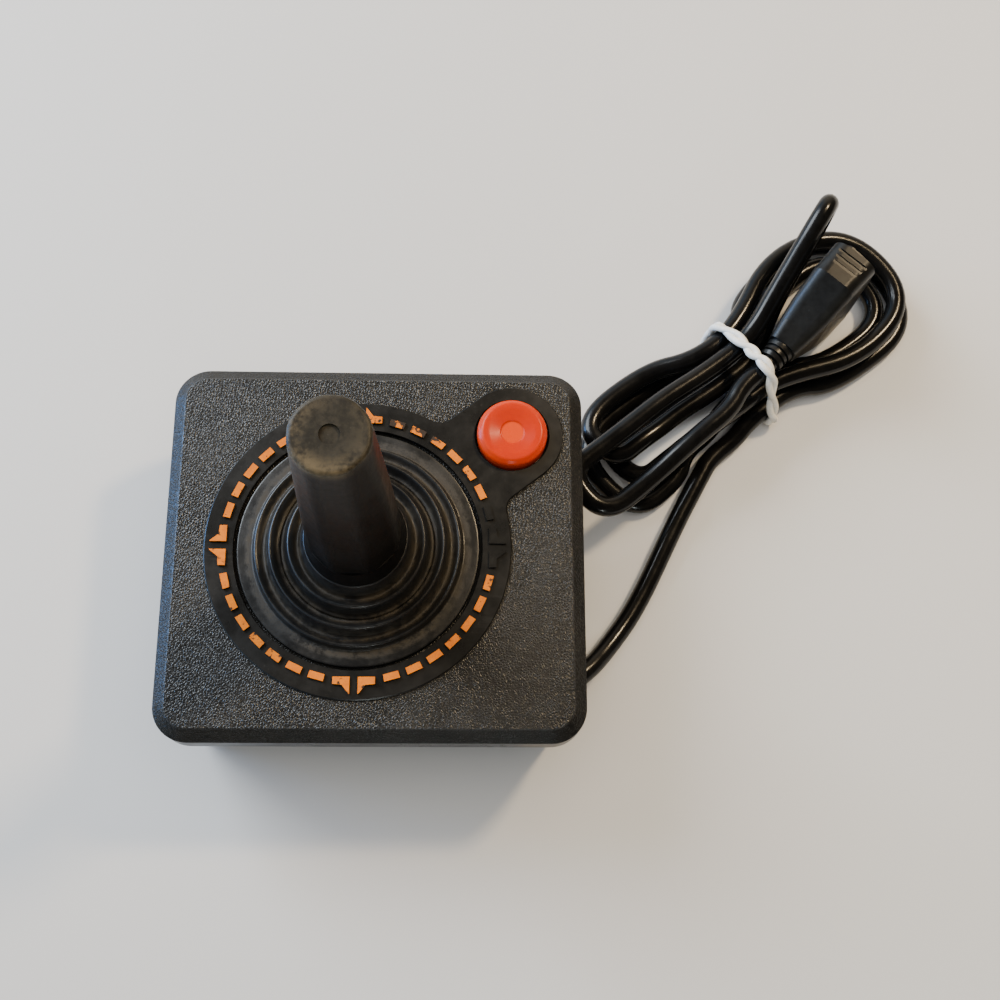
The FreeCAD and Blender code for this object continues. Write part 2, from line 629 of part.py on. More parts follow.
def inner_wires():
    """Six wires from the cord's end, under the board, round its edge and into the terminals."""
    inward = cord_axis() * -1
    across = inward.cross(UP).normalize()
    upward = across.cross(inward).normalize()
    wires = []
    for index in range(6):
        side = -0.95 if index % 2 == 0 else 0.95
        start = CORD_START + across * side + upward * (1.0 - index // 2)
        bend = start + inward * WIRE_STRAIGHT
        x = terminal_x(index)
        edge_y = BOARD_Y_MAX + 1.8
        top = BOARD_TOP + 1.3
        route = [start, bend, V(x, bend.y, bend.z), V(x, edge_y, bend.z), V(x, edge_y, top),
                 V(x, TERMINAL_Y + TERMINAL_SIZE[1] / 2, top)]
        wire = Part.Wire(bent_edges(route, [0, 1.4, 0.9, 0.9, 0.9, 0], False))
        wires.append(tube(wire, WIRE_RADIUS, inward))
    return Part.makeCompound(wires)


def hank_point(u, v, z):
    """A point of the hank's frame in the case's frame."""
    along = V(math.cos(HANK_ANGLE), math.sin(HANK_ANGLE), 0)
    left = V(-along.y, along.x, 0)
    return V(HANK_X, HANK_Y, z) + along * u + left * v


def entry_point():
    """Where the free cord becomes the hank, and its direction there, in the hank's frame."""
    radius = ENTRY_SPAN / math.sin(ENTRY_ANGLE)
    v = ENTRY_V - radius * (1 - math.cos(ENTRY_ANGLE))
    return (ENTRY_U - ENTRY_SPAN, v, CORD_ON_FLOOR), (math.cos(ENTRY_ANGLE), math.sin(ENTRY_ANGLE), 0.0)


def lead_route():
    """Corners of the free stretch of cord, from inside the wall to the hank."""
    (u, v, z), (du, dv, _) = entry_point()
    last = hank_point(u, v, z)
    before = hank_point(u - du * LEAD_LAST_RUN, v - dv * LEAD_LAST_RUN, z)
    return [CORD_START, CORD_EXIT] + list(CORD_MIDDLE) + [before, last]


def lead_setbacks(route):
    """Distance of each arc from its corner."""
    runs = [a.distanceToPoint(b) for a, b in zip(route, route[1:])]
    return [0] + [0.45 * min(a, b) for a, b in zip(runs, runs[1:])] + [0]


def cord_lead():
    """Free stretch of the cord."""
    route = lead_route()
    setbacks = lead_setbacks(route)
    wire = Part.Wire(bent_edges(route, setbacks, False))
    print("cord lead length", round(wire.Length, 1), "radii",
          [round(radius, 1) for radius in bend_radii(route, setbacks)])
    solid = tube(wire, CORD_RADIUS, cord_axis())
    print("cord lead volume over section x length",
          round(solid.Volume / (math.pi * CORD_RADIUS ** 2 * wire.Length), 4))
    return solid


def layer_height(layers):
    """Height of the cord's middle that many layers up."""
    return LOWEST + LAYER * layers


def waist_crossing(index):
    """Middle of a crossing of the waist, as (v, height)."""
    half_steps, row, above = CROSSINGS[index]
    return half_steps * WAIST_STEP / 2 + ROW_SHIFTS[row], layer_height(row + above)


def drawn_loops():
    """Loops that narrow towards the waist: u where the half turn starts, then the strand out and the
    strand back, each as the u, v and layers where its drawn-in part ends and its v and layers at the
    half turn."""
    low = PLUG_SIDE_LOW
    high = PLUG_SIDE_HIGH
    next_low = low - LANE
    next_high = high + LANE
    return {0: (33.5, (26.0, next_low, 0.0, next_low, 0.0), (24.0, next_high, 0.0, next_high, 0.0)),
            1: (-34.5, (-24.0, 14.0, 0.0, 14.0, 0.0), (-21.0, -5.5, 0.0, -10.0, 0.0)),
            2: (33.0, (27.0, low, 0.25, low, 0.25), (28.0, high, 0.1, high, 0.1)),
            3: (-33.5, (-28.0, 8.0, 0.1, 8.0, 0.0), (-22.0, -5.8, 1.45, -5.0, 0.6)),
            5: (-35.5, (-26.0, 16.5, 0.95, 16.5, 0.95), (-26.0, 2.4, 1.1, 2.5, 1.25)),
            7: (-48.4, (-30.0, 6.4, 2.2, 6.5, 2.15), (-17.0, -6.6, 2.45, -7.4, 1.9))}


def fanned_loops():
    """Loops whose strands spread straight from the waist: corners as u, v and layers."""
    return {4: ((27.0, -16.5, 1.2), (49.5, -11.5, 1.1), (49.5, 13.0, 1.1), (28.0, 20.5, 1.3)),
            6: ((17.0, 9.0, 1.35), (41.0, 17.5, 2.4), (40.0, 17.5, 5.4), (17.0, 9.5, 3.0))}


def hank_corners():
    """Corner points of the hank's route in its own frame and the distance of each arc from them."""
    corners = []
    setbacks = []

    def sway(start, end):
        """Two equal arcs from start to end, both ends along u."""
        reach = abs(end[0] - start[0])
        shift = math.hypot(end[1] - start[1], end[2] - start[2])
        if shift < 1e-6:
            return
        length = (reach * reach + shift * shift) / (4 * reach)
        way = math.copysign(length, end[0] - start[0])
        corners.append((start[0] + way, start[1], start[2]))
        corners.append((end[0] - way, end[1], end[2]))
        setbacks.extend([length, length])

    def turn_back(start, end, way):
        """Half turn from start to end, out along u in the direction of way."""
        length = math.hypot(end[1] - start[1], end[2] - start[2]) / 2
        corners.append((start[0] + way * length, start[1], start[2]))
        corners.append((start[0] + way * length, end[1], end[2]))
        setbacks.extend([length, length])

    def spread(middle, index, way):
        """Loop through the given corners, from one crossing of the waist to the next."""
        ends = [(way * FAN_START_U,) + waist_crossing(at) for at in (index, index + 1)]
        route = [ends[0]] + [(u, v, layer_height(layers)) for u, v, layers in middle] + [ends[1]]
        runs = [math.dist(a, b) for a, b in zip(route, route[1:])]
        corners.extend(route)
        setbacks.append(FAN_START_SETBACK)
        setbacks.extend([0.48 * min(a, b) for a, b in zip(runs, runs[1:])])
        setbacks.append(FAN_START_SETBACK)

    first, _ = entry_point()
    radius = ENTRY_SPAN / math.sin(ENTRY_ANGLE)
    length = radius * math.tan(ENTRY_ANGLE / 2)
    corners.append(first)
    setbacks.append(0)
    corners.append((ENTRY_U - length, ENTRY_V, CORD_ON_FLOOR))
    setbacks.append(length)
    here = (ENTRY_U, ENTRY_V, CORD_ON_FLOOR)
    way = 1
    drawn = drawn_loops()
    fanned = fanned_loops()
    for index in range(len(CROSSINGS)):
        side_v, height = waist_crossing(index)
        near = (-way * WAIST_HALF, side_v, height)
        far = (way * WAIST_HALF, side_v, height)
        sway(here, near)
        if index in fanned:
            spread(fanned[index], index, way)
            here = (way * WAIST_HALF,) + waist_crossing(index + 1)
            way = -way
            continue
        if index not in drawn:
            break
        tip_u, going, coming = drawn[index]
        out = (going[0], going[1], layer_height(going[2]))
        leave = (tip_u, going[3], layer_height(going[4]))
        arrive = (tip_u, coming[3], layer_height(coming[4]))
        back = (coming[0], coming[1], layer_height(coming[2]))
        sway(far, out)
        sway(out, leave)
        turn_back(leave, arrive, way)
        sway(arrive, back)
        here = back
        way = -way
    end = plug_start()
    length = (end[0] + WAIST_HALF) / math.sin(PLUG_ANGLE) * math.tan(PLUG_ANGLE / 2)
    corners.append((length - WAIST_HALF,) + waist_crossing(len(CROSSINGS) - 1))
    setbacks.append(length)
    corners.append(end)
    setbacks.append(0)
    return corners, setbacks


def plug_start():
    """End of the cord in the plug, in the hank's frame."""
    side_v, height = waist_crossing(len(CROSSINGS) - 1)
    reach = PLUG_START_U + WAIST_HALF
    radius = reach / math.sin(PLUG_ANGLE)
    return (PLUG_START_U, side_v + radius * (1 - math.cos(PLUG_ANGLE)), height)


def cord_hank():
    """The cord's loops, drawn in at the tie and ending in the plug."""
    corners, setbacks = hank_corners()
    points = [hank_point(u, v, z) for u, v, z in corners]
    wire = Part.Wire(bent_edges(points, setbacks, False))
    report_gap(wire)
    radii = bend_radii(points, setbacks)
    print("hank length", round(wire.Length, 1), "least radius", round(min(radii), 2))
    solid = tube(wire, CORD_RADIUS, (points[1] - points[0]).normalize())
    print("hank volume over section x length",
          round(solid.Volume / (math.pi * CORD_RADIUS ** 2 * wire.Length), 4))
    return solid


def report_gap(wire):
    """Print the least gap between stretches of the cord that are not neighbours."""
    spacing = 1.5
    points = wire.discretize(Distance=spacing)
    apart = int(5.2 * CORD_RADIUS / spacing) + 1
    least = min(points[i].distanceToPoint(points[j])
                for i in range(len(points)) for j in range(i + apart, len(points)))
    print("least gap in the hank", round(least - 2 * CORD_RADIUS, 3))


def cord_tie():
    """Flat band round the hank's waist."""
    outermost = (0, 3, 1, 5, 7, 8)
    outline = [V(*waist_crossing(index), 0) for index in outermost]
    polygon = Part.makePolygon(outline + outline[:1])
    inner = Part.Face(polygon.makeOffset2D(CORD_RADIUS + TIE_CLEARANCE))
    outer = Part.Face(polygon.makeOffset2D(CORD_RADIUS + TIE_CLEARANCE + TIE_THICKNESS))
    band = outer.cut(inner).extrude(V(0, 0, TIE_WIDTH))
    along = hank_point(1, 0, 0) - hank_point(0, 0, 0)
    left = hank_point(0, 1, 0) - hank_point(0, 0, 0)
    corner = hank_point(TIE_WIDTH / 2, 0, 0)
    back = along * -1
    frame = FreeCAD.Matrix(left.x, 0, back.x, corner.x, left.y, 0, back.y, corner.y, 0, 1, 0, 0, 0, 0, 0, 1)
    band.transformShape(frame)
    return band


def plug_placement():
    """Placement whose X axis is the plug's axis and whose origin is the cord's end."""
    u, v, z = plug_start()
    turn = math.degrees(HANK_ANGLE + PLUG_ANGLE)
    return FreeCAD.Placement(hank_point(u, v, z), FreeCAD.Rotation(UP, turn))


def placed(shape):
    """The shape moved from the plug's frame to the case's frame."""
    shape.Placement = plug_placement().multiply(shape.Placement)
    return shape


def plug_relief():
    """Ribbed strain relief at the plug's tail."""
    tail = RELIEF_RADIUS - 0.5
    profile = [(0.0, 0.0), (0.0, tail)]
    for start in (1.0, 2.6):
        profile += [(start, tail + 0.25), (start, tail - 0.35), (start + 0.6, tail - 0.35)]
        profile += [(start + 0.6, tail + 0.35)]
    profile += [(4.2, RELIEF_RADIUS), (HOOD_SECTIONS[0][0], RELIEF_RADIUS), (HOOD_SECTIONS[0][0], 0.0)]
    points = [V(along, radius, 0) for along, radius in profile]
    face = Part.Face(Part.makePolygon(points + points[:1]))
    return placed(face.revolve(V(0, 0, 0), V(1, 0, 0), 360))


def hood_section(along, half_y, half_z):
    """Rounded section of the hood."""
    radius = min(half_y, half_z) * HOOD_ROUNDING
    corners = [V(along, half_y, half_z), V(along, -half_y, half_z), V(along, -half_y, -half_z),
               V(along, half_y, -half_z)]
    return Part.Wire(bent_edges(corners, [radius] * 4, True))


def insert_outline(along, clearance):
    """D-shaped outline of the insert, wide along Z."""
    half_z = INSERT_WIDTH / 2 + clearance
    half_y = INSERT_THICKNESS / 2 + clearance
    slant = 0.18 * INSERT_THICKNESS
    corners = [V(along, half_y, half_z), V(along, half_y, -half_z), V(along, -half_y, slant - half_z),
               V(along, -half_y, half_z - slant)]
    return Part.Wire(bent_edges(corners, [1.6] * 4, True))


def plug_hood():
    """Moulded hood: slim tail, wide grip with ribs on its narrow sides, pocket for the insert."""
    hood = Part.makeLoft([hood_section(*section) for section in HOOD_SECTIONS], True, True)
    last, half_y, half_z = HOOD_SECTIONS[-1]
    for index in range(4):
        along = last - 2.0 - 1.7 * index
        for side in (-1, 1):
            groove = Part.makeBox(0.8, 2 * half_y + 2, 1.0, V(along - 0.4, -half_y - 1, -0.5))
            groove.translate(V(0, 0, side * half_z))
            hood = hood.cut(groove)
    pocket = Part.Face(insert_outline(INSERT_START, 0.05)).extrude(V(10, 0, 0))
    return placed(hood.cut(pocket))


def contact_points():
    """Rows of five and four contacts across the plug, as (y, z) about its axis."""
    rows = []
    for index in range(5):
        rows.append((CONTACT_ROW / 2, CONTACT_PITCH * (index - 2)))
    for index in range(4):
        rows.append((-CONTACT_ROW / 2, CONTACT_PITCH * (index - 1.5)))
    return rows


def plug_insert():
    """D-shaped block with nine holes."""
    block = Part.Face(insert_outline(INSERT_START, 0.0)).extrude(V(INSERT_END - INSERT_START, 0, 0))
    for y, z in contact_points():
        hole = Part.makeCylinder(CONTACT_RADIUS + 0.02, 10.0, V(INSERT_START + 1.0, y, z), V(1, 0, 0))
        block = block.cut(hole)
    return placed(block)


def plug_contacts():
    """Nine spring sockets set back in the insert."""
    sockets = []
    length = INSERT_END - INSERT_START - 1.6
    for y, z in contact_points():
        start = V(INSERT_START + 1.0, y, z)
        socket = Part.makeCylinder(CONTACT_RADIUS, length, start, V(1, 0, 0))
        bore = Part.makeCylinder(CONTACT_BORE, length, start + V(1.0, 0, 0), V(1, 0, 0))
        sockets.append(socket.cut(bore))
    return placed(Part.makeCompound(sockets))


def direction_domes():
    """Four sprung domes on the board under the pushers."""
    return Part.makeCompound([dome_shell(x, y, DOME_RADIUS, DOME_HEIGHT) for x, y in dome_points()])


def fire_dome():
    """Sprung dome on the board under the button's stem."""
    return dome_shell(BUTTON_X, BUTTON_Y, FIRE_DOME_RADIUS, FIRE_DOME_HEIGHT)


PIECES = (top_case, bottom_case, case_screws, mark_foil, rubber_boot, grip_sleeve, stick_core,
          circuit_board, direction_domes, fire_dome, dome_tape, fire_button, button_spring, cord_bush,
          wire_terminals, inner_wires, cord_lead, cord_hank, cord_tie, plug_relief, plug_hood,
          plug_insert, plug_contacts)


def main():
    """Build every piece and write it to parts/."""
    os.makedirs("parts", exist_ok=True)
    for build in PIECES:
        shape = build()
        print(build.__name__, "solids", len(shape.Solids), "valid", shape.isValid(),
              "volume", round(shape.Volume, 1))
        shape.exportStep("parts/" + build.__name__ + ".step")


main()
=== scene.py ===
"""Dresses a stick controller: square case, boot-sealed stick, push button, tied cord and nine-way plug.

Sizes are in millimetres and are turned into metres where a mesh or a curve is made.
"""
import logging
import math
from dataclasses import dataclass, field
from typing import Callable, Iterable, Sequence

import bmesh
import bpy
from mathutils import Matrix, Vector


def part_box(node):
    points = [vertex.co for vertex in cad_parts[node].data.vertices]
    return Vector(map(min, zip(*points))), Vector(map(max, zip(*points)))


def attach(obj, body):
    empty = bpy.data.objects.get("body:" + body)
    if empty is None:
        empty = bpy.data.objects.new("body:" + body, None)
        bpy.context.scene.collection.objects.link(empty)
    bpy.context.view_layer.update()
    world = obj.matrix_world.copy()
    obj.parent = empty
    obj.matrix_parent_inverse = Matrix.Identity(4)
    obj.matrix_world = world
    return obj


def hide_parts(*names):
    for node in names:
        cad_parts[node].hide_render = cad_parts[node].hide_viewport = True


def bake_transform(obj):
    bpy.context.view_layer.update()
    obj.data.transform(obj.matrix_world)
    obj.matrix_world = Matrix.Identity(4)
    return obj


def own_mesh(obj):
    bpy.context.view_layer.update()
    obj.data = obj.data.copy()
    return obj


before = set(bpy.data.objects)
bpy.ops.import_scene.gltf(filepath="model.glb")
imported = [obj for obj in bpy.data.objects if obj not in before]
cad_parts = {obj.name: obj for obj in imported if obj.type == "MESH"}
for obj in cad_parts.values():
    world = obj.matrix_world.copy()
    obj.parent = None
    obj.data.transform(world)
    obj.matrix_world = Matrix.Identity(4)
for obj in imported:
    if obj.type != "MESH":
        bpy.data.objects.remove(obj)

MM = 0.001
# Where the stick stands along Y
RING_Y = -3.68
DUST_COLOUR = (0.22, 0.20, 0.175)
# Fine bumps of every moulded surface, per metre
FINE_SCALE = 2600.0
LOG = logging.getLogger("stick_controller")

Node = bpy.types.Node
Socket = bpy.types.NodeSocket
Tree = bpy.types.NodeTree
Piece = bpy.types.Object
Mesh = bpy.types.Mesh
Pair = tuple[float, float]
Colour = tuple[float, float, float]
Point = tuple[float, float, float]
Feed = float | Colour | Socket


# Node helpers


class Sheet:
    """Adds nodes to one tree and links them."""

    def __init__(self, tree: Tree) -> None:
        """Start with an empty tree."""
        self.tree = tree
        tree.nodes.clear()
        self.place = 0.0

    def node(self, kind: str, feeds: dict[str | int, Feed] | None = None, **settings: object) -> Node:
        """Add a node.

        Args:
            kind: Blender's name of the node type.
            feeds: values or sockets for its inputs, by name or number.
            settings: properties set on the node.

        Returns:
            The new node.
        """
        node = self.tree.nodes.new(kind)
        node.location = (self.place, 0.0)
        self.place += 180.0
        for name, value in settings.items():
            setattr(node, name, value)
        for name, feed in (feeds or {}).items():
            self.feed(node.inputs[name], feed)
        return node

    def feed(self, socket: Socket, feed: Feed) -> None:
        """Link a socket, or set its value."""
        if isinstance(feed, Socket):
            self.tree.links.new(feed, socket)
        elif isinstance(feed, tuple) and socket.type == "RGBA":
            socket.default_value = (*feed, 1.0)
        else:
            socket.default_value = feed

    def math(self, operation: str, first: Feed, second: Feed = 0.0, clamp: bool = False) -> Socket:
        """Result of a Math node."""
        node = self.node("ShaderNodeMath", {0: first, 1: second}, operation=operation, use_clamp=clamp)
        return node.outputs[0]

    def times(self, first: Feed, *others: Feed) -> Feed:
        """Product of two or more values."""
        for other in others:
            first = self.math("MULTIPLY", first, other)
        return first

    def ramp(self, value: Feed, low: float, high: float, to_low: float = 0.0,
             to_high: float = 1.0) -> Socket:
        """Value moved smoothly from one range to another.

        Args:
            value: what is read.
            low: where the rise starts.
            high: where it ends.
            to_low: result at and below low.
            to_high: result at and above high.

        Returns:
            The result's socket.
        """
        feeds = {0: value, 1: low, 2: high, 3: to_low, 4: to_high}
        return self.node("ShaderNodeMapRange", feeds, interpolation_type="SMOOTHSTEP").outputs[0]

    def mix(self, mask: Feed, under: Feed, over: Feed) -> Socket:
        """Colour over another by a mask."""
        node = self.node("ShaderNodeMix", data_type="RGBA")
        self.feed(node.inputs[0], mask)
        self.feed(node.inputs[6], under)
        self.feed(node.inputs[7], over)
        return node.outputs[2]

    def blend_value(self, mask: Feed, under: Feed, over: Feed) -> Socket:
        """Number over another by a mask."""
        node = self.node("ShaderNodeMix", data_type="FLOAT")
        self.feed(node.inputs[0], mask)
        self.feed(node.inputs[2], under)
        self.feed(node.inputs[3], over)
        return node.outputs[0]

    def noise(self, place: Feed, scale: Feed, detail: float = 3.0, rough: float = 0.55,
              output: str = "Fac") -> Socket:
        """Noise at a scale per metre."""
        feeds = {"Vector": place, "Scale": scale, "Detail": detail, "Roughness": rough}
        return self.node("ShaderNodeTexNoise", feeds).outputs[output]

    def object_place(self) -> Socket:
        """Place on the piece, in metres."""
        return self.node("ShaderNodeTexCoord").outputs["Object"]

    def split(self, place: Feed) -> tuple[Socket, Socket, Socket]:
        """The three parts of a vector."""
        node = self.node("ShaderNodeSeparateXYZ", {0: place})
        return node.outputs[0], node.outputs[1], node.outputs[2]

    def away(self, place: Feed, middle_x: float, middle_y: float) -> Socket:
        """Distance in metres from an upright axis, whose place is given in millimetres."""
        x, y, _ = self.split(place)
        squares = [self.math("POWER", self.math("SUBTRACT", part, middle * MM), 2.0)
                   for part, middle in ((x, middle_x), (y, middle_y))]
        return self.math("SQRT", self.math("ADD", *squares))

    def use(self, group: Tree, feeds: dict[str, Feed]) -> Node:
        """Add a node group with its own values."""
        node = self.node("ShaderNodeGroup", node_tree=group)
        for name, feed in feeds.items():
            self.feed(node.inputs[name], feed)
        return node


@dataclass(frozen=True)
class Effect:
    """A shared effect: a node group with named inputs and outputs.

    Attributes:
        name: the group's name.
        inputs: names of its inputs, with the starting value of each; None for a vector.
        outputs: names of its outputs.
        fill: fills the group and returns what feeds each output.
    """

    name: str
    inputs: tuple[tuple[str, float | None], ...]
    outputs: tuple[str, ...]
    fill: Callable[[Sheet, Node], Sequence[Socket]]

    def group(self) -> Tree:
        """The group, built the first time it is asked for."""
        found = bpy.data.node_groups.get(self.name)
        if found is not None:
            return found
        tree = bpy.data.node_groups.new(self.name, "ShaderNodeTree")
        sheet = Sheet(tree)
        for name, value in self.inputs:
            kind = "NodeSocketVector" if value is None else "NodeSocketFloat"
            socket = tree.interface.new_socket(name, in_out="INPUT", socket_type=kind)
            if value is not None:
                socket.default_value = value
        for name in self.outputs:
            tree.interface.new_socket(name, in_out="OUTPUT", socket_type="NodeSocketFloat")
        source = sheet.node("NodeGroupInput")
        results = self.fill(sheet, source)
        sheet.node("NodeGroupOutput", dict(enumerate(results)))
        return tree


def fill_pebble(sheet: Sheet, source: Node) -> Sequence[Socket]:
    """Moulded leather-like grain: bumps of uneven length with valleys between them."""
    place = source.outputs["Place"]
    size = source.outputs["Per metre"]
    drift = sheet.noise(place, sheet.times(size, 0.8), 2.0, output="Color")
    moved = sheet.node("ShaderNodeVectorMath", {0: drift, 1: (0.5, 0.5, 0.5)}, operation="SUBTRACT")
    reach = sheet.math("DIVIDE", 0.9, size)
    scaled = sheet.node("ShaderNodeVectorMath", {0: moved.outputs[0]}, operation="SCALE")
    sheet.feed(scaled.inputs["Scale"], reach)
    bent = sheet.node("ShaderNodeVectorMath", {0: place, 1: scaled.outputs[0]}, operation="ADD")
    feeds = {"Vector": bent.outputs[0], "Scale": size, "Randomness": 1.0}
    cells = sheet.node("ShaderNodeTexVoronoi", feeds, feature="DISTANCE_TO_EDGE")
    bumps = sheet.ramp(cells.outputs["Distance"], 0.0, 0.34)
    fine = sheet.noise(place, sheet.times(size, 2.4), 3.0)
    height = sheet.math("ADD", sheet.times(bumps, 0.8), sheet.times(fine, 0.35))
    return height, bumps


def fill_mottle(sheet: Sheet, source: Node) -> Sequence[Socket]:
    """Cloudy change over the surface, coarse and fine together."""
    place = source.outputs["Place"]
    size = source.outputs["Per metre"]
    coarse = sheet.noise(place, size, 4.0, 0.6)
    fine = sheet.noise(place, sheet.times(size, 7.0), 3.0, 0.6)
    both = sheet.math("ADD", sheet.times(coarse, 0.65),
                      sheet.times(fine, 0.35))
    return (sheet.ramp(both, 0.36, 0.64),)


def fill_scratches(sheet: Sheet, source: Node) -> Sequence[Socket]:
    """Fine hair scratches in two directions."""
    place = source.outputs["Place"]
    size = source.outputs["Per metre"]
    total: Feed = 0.0
    for turn, stretch in ((0.6, 0.045), (-0.9, 0.07)):
        feeds = {"Vector": place, "Rotation": (0.0, 0.0, turn), "Scale": (1.0, stretch, 1.0)}
        laid = sheet.node("ShaderNodeMapping", feeds)
        lines = sheet.noise(laid.outputs[0], size, 2.0, 0.5)
        thin = sheet.math("ABSOLUTE", sheet.math("SUBTRACT", lines, 0.5))
        total = sheet.math("ADD", total, sheet.ramp(thin, 0.0, 0.012, 1.0, 0.0))
    broken = sheet.noise(place, sheet.times(size, 0.16), 2.0)
    kept = sheet.ramp(broken, 0.52, 0.66)
    return (sheet.math("MULTIPLY", sheet.times(total, kept), source.outputs["Amount"], clamp=True),)


def fill_dust(sheet: Sheet, source: Node) -> Sequence[Socket]:
    """Specks and haze on faces that look up."""
    place = source.outputs["Place"]
    normal = sheet.node("ShaderNodeTexCoord").outputs["Normal"]
    up = sheet.ramp(sheet.split(normal)[2], 0.2, 0.95)
    haze = sheet.ramp(sheet.noise(place, 90.0, 5.0, 0.65), 0.45, 0.75)
    specks = sheet.ramp(sheet.noise(place, 1900.0, 2.0, 0.5), 0.69, 0.76)
    both = sheet.math("ADD", sheet.times(haze, 0.35), sheet.times(specks, 0.9), clamp=True)
    return (sheet.math("MULTIPLY", sheet.times(both, up), source.outputs["Amount"], clamp=True),)


PEBBLE = Effect("pebble grain", (("Place", None), ("Per metre", 1100.0)), ("Height", "Crests"),
                fill_pebble)
MOTTLE = Effect("mottle", (("Place", None), ("Per metre", 60.0)), ("Value",), fill_mottle)
SCRATCHES = Effect("hair scratches", (("Place", None), ("Per metre", 260.0), ("Amount", 1.0)),
                   ("Mask",), fill_scratches)
DUST = Effect("dust", (("Place", None), ("Amount", 1.0)), ("Mask",), fill_dust)


# Finishes


@dataclass(frozen=True)
class Finish:
    """Plain moulded finish with cloudy gloss, fine scratches and a little dust.

    Attributes:
        name: the material's name.
        colour: its main colour, linear.
        other: colour that it drifts towards in patches.
        rough: roughness of the glossy and of the dull patches.
        patches: patches per metre.
        relief: height of the fine bump, in millimetres.
        scratch: how much the hair scratches show.
        dust: how much dust lies on it.
        metal: metallic value.
        shine: specular level.
    """

    name: str
    colour: Colour
    other: Colour
    rough: Pair = (0.35, 0.5)
    patches: float = 60.0
    relief: float = 0.01
    scratch: float = 0.3
    dust: float = 0.2
    metal: float = 0.0
    shine: float = 0.5

    def material(self) -> bpy.types.Material:
        """The material, built the first time it is asked for."""
        found = bpy.data.materials.get(self.name)
        if found is not None:
            return found
        material = bpy.data.materials.new(self.name)
        material.use_nodes = True
        sheet = Sheet(material.node_tree)
        shader = sheet.node("ShaderNodeBsdfPrincipled")
        self.paint(sheet, shader)
        sheet.node("ShaderNodeOutputMaterial", {"Surface": shader.outputs[0]})
        return material

    def paint(self, sheet: Sheet, shader: Node) -> None:
        """Feed the shader of this finish."""
        place = sheet.object_place()
        _, base, rough = self.clouded(sheet, place)
        self.finish_off(sheet, shader, place, base, rough)

    def clouded(self, sheet: Sheet, place: Feed) -> tuple[Socket, ...]:
        """The cloud over the surface, and the colour and the roughness that drift with it."""
        cloud = sheet.use(MOTTLE.group(), {"Place": place, "Per metre": self.patches}).outputs[0]
        return cloud, sheet.mix(cloud, self.colour, self.other), sheet.blend_value(cloud, *self.rough)

    def finish_off(self, sheet: Sheet, shader: Node, place: Feed, base: Feed, rough: Feed,
                   height: Feed | None = None) -> None:
        """Lay scratches and dust over the colour, and feed the shader.

        Args:
            sheet: the material's tree.
            shader: its main shader.
            place: place on the piece.
            base: colour so far.
            rough: roughness so far.
            height: relief so far in millimetres, or None.
        """
        if self.scratch > 0.0:
            lines = sheet.use(SCRATCHES.group(), {"Place": place, "Amount": self.scratch}).outputs[0]
            lighter = tuple(min(1.0, part * 2.2 + 0.012) for part in self.other)
            base = sheet.mix(lines, base, lighter)
            rough = sheet.math("ADD", rough, sheet.times(lines, 0.15), clamp=True)
        if self.dust > 0.0:
            grey = sheet.use(DUST.group(), {"Place": place, "Amount": self.dust}).outputs[0]
            base = sheet.mix(grey, base, DUST_COLOUR)
            rough = sheet.math("ADD", rough, sheet.times(grey, 0.4), clamp=True)
        fine = sheet.times(sheet.noise(place, FINE_SCALE, 3.0), self.relief)
        total = fine if height is None else sheet.math("ADD", height, fine)
        bump = sheet.node("ShaderNodeBump", {"Strength": 1.0, "Distance": MM, "Height": total})
        sheet.feed(shader.inputs["Base Color"], base)
        sheet.feed(shader.inputs["Roughness"], rough)
        sheet.feed(shader.inputs["Normal"], bump.outputs[0])
        sheet.feed(shader.inputs["Metallic"], self.metal)
        sheet.feed(shader.inputs["Specular IOR Level"], self.shine)


@dataclass(frozen=True)
class CaseFinish(Finish):
    """Black case: grained face and chamfer, smooth lip, smooth raised plate; the grain's crests are
    lighter, partly as wear and partly as a painted sparkle highlight.

    Attributes:
        grain_low: height where the grain starts, at the foot of the chamfer.
        grain_high: height where it ends, just above the face.
        grain_depth: depth of the grain.
        grain_scale: grains per metre.
        grain_rough: roughness of the glossy and of the dull patches where it is grained.
        face: height of the case's face.
        side_shine: specular level below the face, on chamfers and walls.
    """

    grain_low: float = 33.7
    grain_high: float = 36.06
    grain_depth: float = 0.085
    grain_scale: float = 1650.0
    grain_rough: Pair = (0.30, 0.38)
    face: float = 36.0
    side_shine: float = 0.2

    def paint(self, sheet: Sheet, shader: Node) -> None:
        """Feed the shader of this finish."""
        place = sheet.object_place()
        height_of = sheet.times(sheet.split(place)[2], 1000.0)
        above = sheet.ramp(height_of, self.grain_low - 0.05, self.grain_low + 0.1)
        below = sheet.ramp(height_of, self.grain_high, self.grain_high + 0.05, 1.0, 0.0)
        grained = sheet.times(above, below)
        grain = sheet.use(PEBBLE.group(), {"Place": place, "Per metre": self.grain_scale})
        cloud, base, smooth = self.clouded(sheet, place)
        # Grain crests lightened: partly scuffing wear, partly a painted sparkle highlight on the
        # crests.
        worn = sheet.times(sheet.times(grain.outputs["Crests"], grained), 0.5)
        base = sheet.mix(worn, base, tuple(part * 1.7 for part in self.other))
        rough = sheet.blend_value(grained, smooth, sheet.blend_value(cloud, *self.grain_rough))
        depth = sheet.times(grained, self.grain_depth)
        height = sheet.times(grain.outputs["Height"], depth)
        self.finish_off(sheet, shader, place, base, rough, height)
        sheet.feed(shader.inputs["Specular IOR Level"],
                   sheet.ramp(height_of, self.face - 0.4, self.face, self.side_shine, self.shine))


